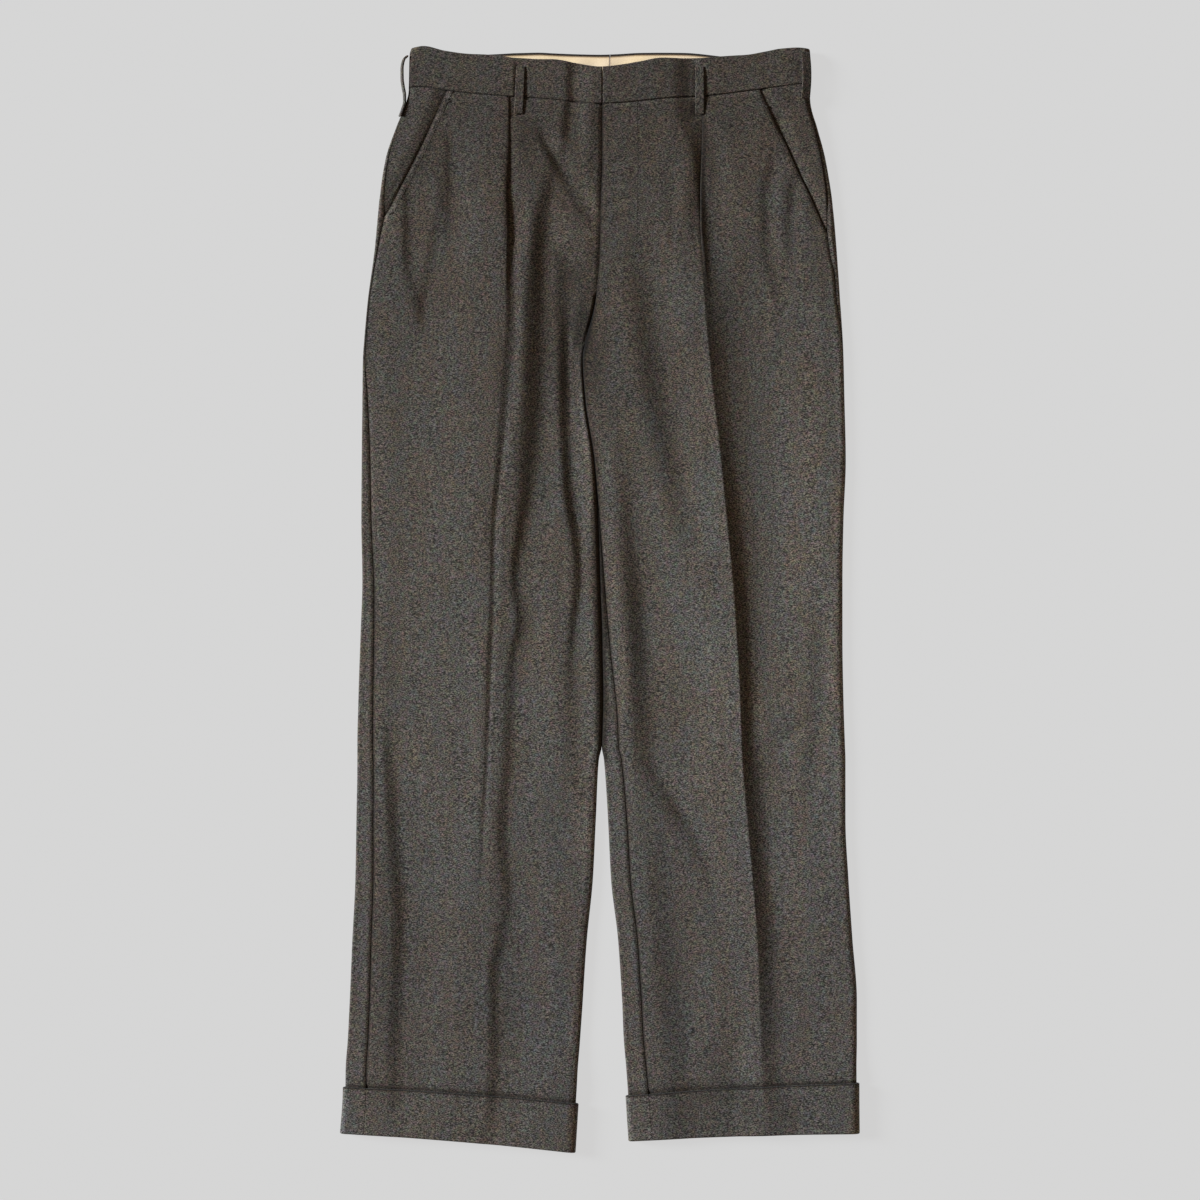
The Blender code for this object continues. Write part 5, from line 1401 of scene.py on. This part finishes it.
# --- camera, light and floor ---
VIEW_WIDTH = 1200.0  # what the camera takes in, at the height of the cloth
CLOTH_Z = 7.0
CAMERA_HEIGHT = 3500.0
CAMERA_REACH = 20.0  # in metres
SENSOR = 36.0
KEY_AZIMUTH = 165.0  # where the light comes from: 0 is +X, 90 is +Y
KEY_ELEVATION = 20.0
KEY_ENERGY = 7.8
KEY_SPREAD = 16.0  # degrees
KEY_COLOUR = (0.93, 0.987, 1.03)
SKY_COLOUR = (1.0, 0.76, 0.55, 1.0)
SKY_STRENGTH = 0.245
FLOOR_SIZE = 6000.0
FLOOR_Z = -0.4
FLOOR_COLOUR = (0.05, 0.05, 0.05, 1.0)
FLOOR_GLOW = 0.62  # so that the shadows on it stay faint


def add_camera():
    data = bpy.data.cameras.new("camera")
    data.sensor_width = SENSOR
    data.lens = SENSOR * CAMERA_HEIGHT / VIEW_WIDTH
    data.clip_end = CAMERA_REACH
    camera = add_object("camera", data)
    camera.location = (0.0, 0.0, (CAMERA_HEIGHT + CLOTH_Z) * METRES)
    bpy.context.scene.camera = camera


def add_key():
    """A low soft light from the left."""
    data = bpy.data.lights.new("key", "SUN")
    data.energy = KEY_ENERGY
    data.angle = math.radians(KEY_SPREAD)
    data.color = KEY_COLOUR
    a, e = math.radians(KEY_AZIMUTH), math.radians(KEY_ELEVATION)
    way = Vector((math.cos(a) * math.cos(e), math.sin(a) * math.cos(e), math.sin(e)))
    add_object("key", data).rotation_euler = way.to_track_quat("Z", "Y").to_euler()


def add_world():
    world = bpy.data.worlds.new("studio")
    world.use_nodes = True
    background = world.node_tree.nodes["Background"]
    background.inputs["Color"].default_value = SKY_COLOUR
    background.inputs["Strength"].default_value = SKY_STRENGTH
    bpy.context.scene.world = world


def add_floor():
    """A pale floor that glows a little."""
    finish = Finish("floor", roughness=1.0, specular=0.0)
    finish.feed(finish.shader, Base_Color=FLOOR_COLOUR, Emission_Color=(1.0, 1.0, 1.0, 1.0),
                Emission_Strength=FLOOR_GLOW)
    corners = [(x, y, FLOOR_Z) for x, y in ((-FLOOR_SIZE, -FLOOR_SIZE), (FLOOR_SIZE, -FLOOR_SIZE),
                                            (FLOOR_SIZE, FLOOR_SIZE), (-FLOOR_SIZE, FLOOR_SIZE))]
    floor = add_mesh("floor", corners, [(0, 1, 2, 3)], finish.material)


def dress(leg):
    """The sheets of one side of the trousers."""
    name = leg.name
    front_points = pressed(waist_to_hem(leg, front(leg)), True)
    front_points[..., 2] -= turnup_dip(leg, front_points)
    back_points = pressed(waist_to_hem(leg, back(leg)), False)
    for points in (front_points, back_points):
        points[..., 2] = np.maximum(points[..., 2], LOWEST)
    cloth(name + "_back", back_points, CLOTH, PANEL_RIMS, shade=leg_shade(leg, back_points))
    cloth(name + "_front", front_points, CLOTH, PANEL_RIMS, [name + "_back"],
          leg_shade(leg, front_points) * seam_shade(leg, front_points))

    pocket = waist_to_hem(leg, pocket_side(leg), POCKET_END_Y[name])
    beside = pocket[..., 0] - MOUTH.at(name, pocket[..., 1])
    cloth(name + "_pocket_side", pocket, CLOTH, PANEL_RIMS, [name + "_back"],
          line_shade(beside, *MOUTH_LINE))

    band = band_points(leg)
    x, y, z = band[..., 0], band[..., 1], band[..., 2]
    at_back = line_shade(WAIST.at("back_top", x) - y, *OVER_LINING_LINE)
    cloth(name + "_waistband", band, BAND, BAND_RIMS, shade=lit_edge_shade(leg, band, 0.0)
          * np.where(z < BAND, at_back, 1.0) * np.where(z > BAND, painted_patch_shade(x, y), 1.0))

    lining = lining_points(leg)
    below = WAIST.at("back_top", lining[..., 0]) - lining[..., 1]
    share, across, down = JOIN_SHADE
    at_join = line_shade(lining[..., 0] - CENTRE_BACK_X, across, share * fall(below / down))
    cloth(name + "_waist_lining", lining, LINING, LINING_RIMS, [name + "_waistband"], at_join,
          finish="cotton")

    turnup = turnup_points(leg, back(leg), False)
    cloth(name + "_turnup_back", turnup, BAND, TURNUP_RIMS, shade=turnup_shade(turnup),
          blunt=TURNUP_BLUNT)
    turnup = turnup_points(leg, front(leg), True)
    lit = lit_edge_shade(leg, turnup, LIT_EDGE_SHARE_TURNUP)
    cloth(name + "_turnup_front", turnup, BAND, TURNUP_RIMS, [name + "_front"],
          lit * painted_patch_shade(turnup[..., 0], turnup[..., 1]) * turnup_shade(turnup), TURNUP_BLUNT)
    cloth(name + "_front_loop", front_loop_points(leg), LOOP, LOOP_RIMS, [name + "_waistband"],
          finish="wool loops")


def main():
    add_camera()
    add_floor()
    add_world()
    add_key()
    bpy.context.scene.view_settings.view_transform = "Standard"
    dress(RIGHT)
    dress(LEFT)
    cloth("right_side_loop", right_side_loop_points(), SIDE_LOOP_THICKNESS, SIDE_LOOP_RIMS,
          finish="wool loops")
    cloth("left_side_loop", left_side_loop_points(), LOOP, LOOP_RIMS, ["left_waistband"],
          finish="wool loops")
    stitching(RIGHT)
    stitching(LEFT)


main()
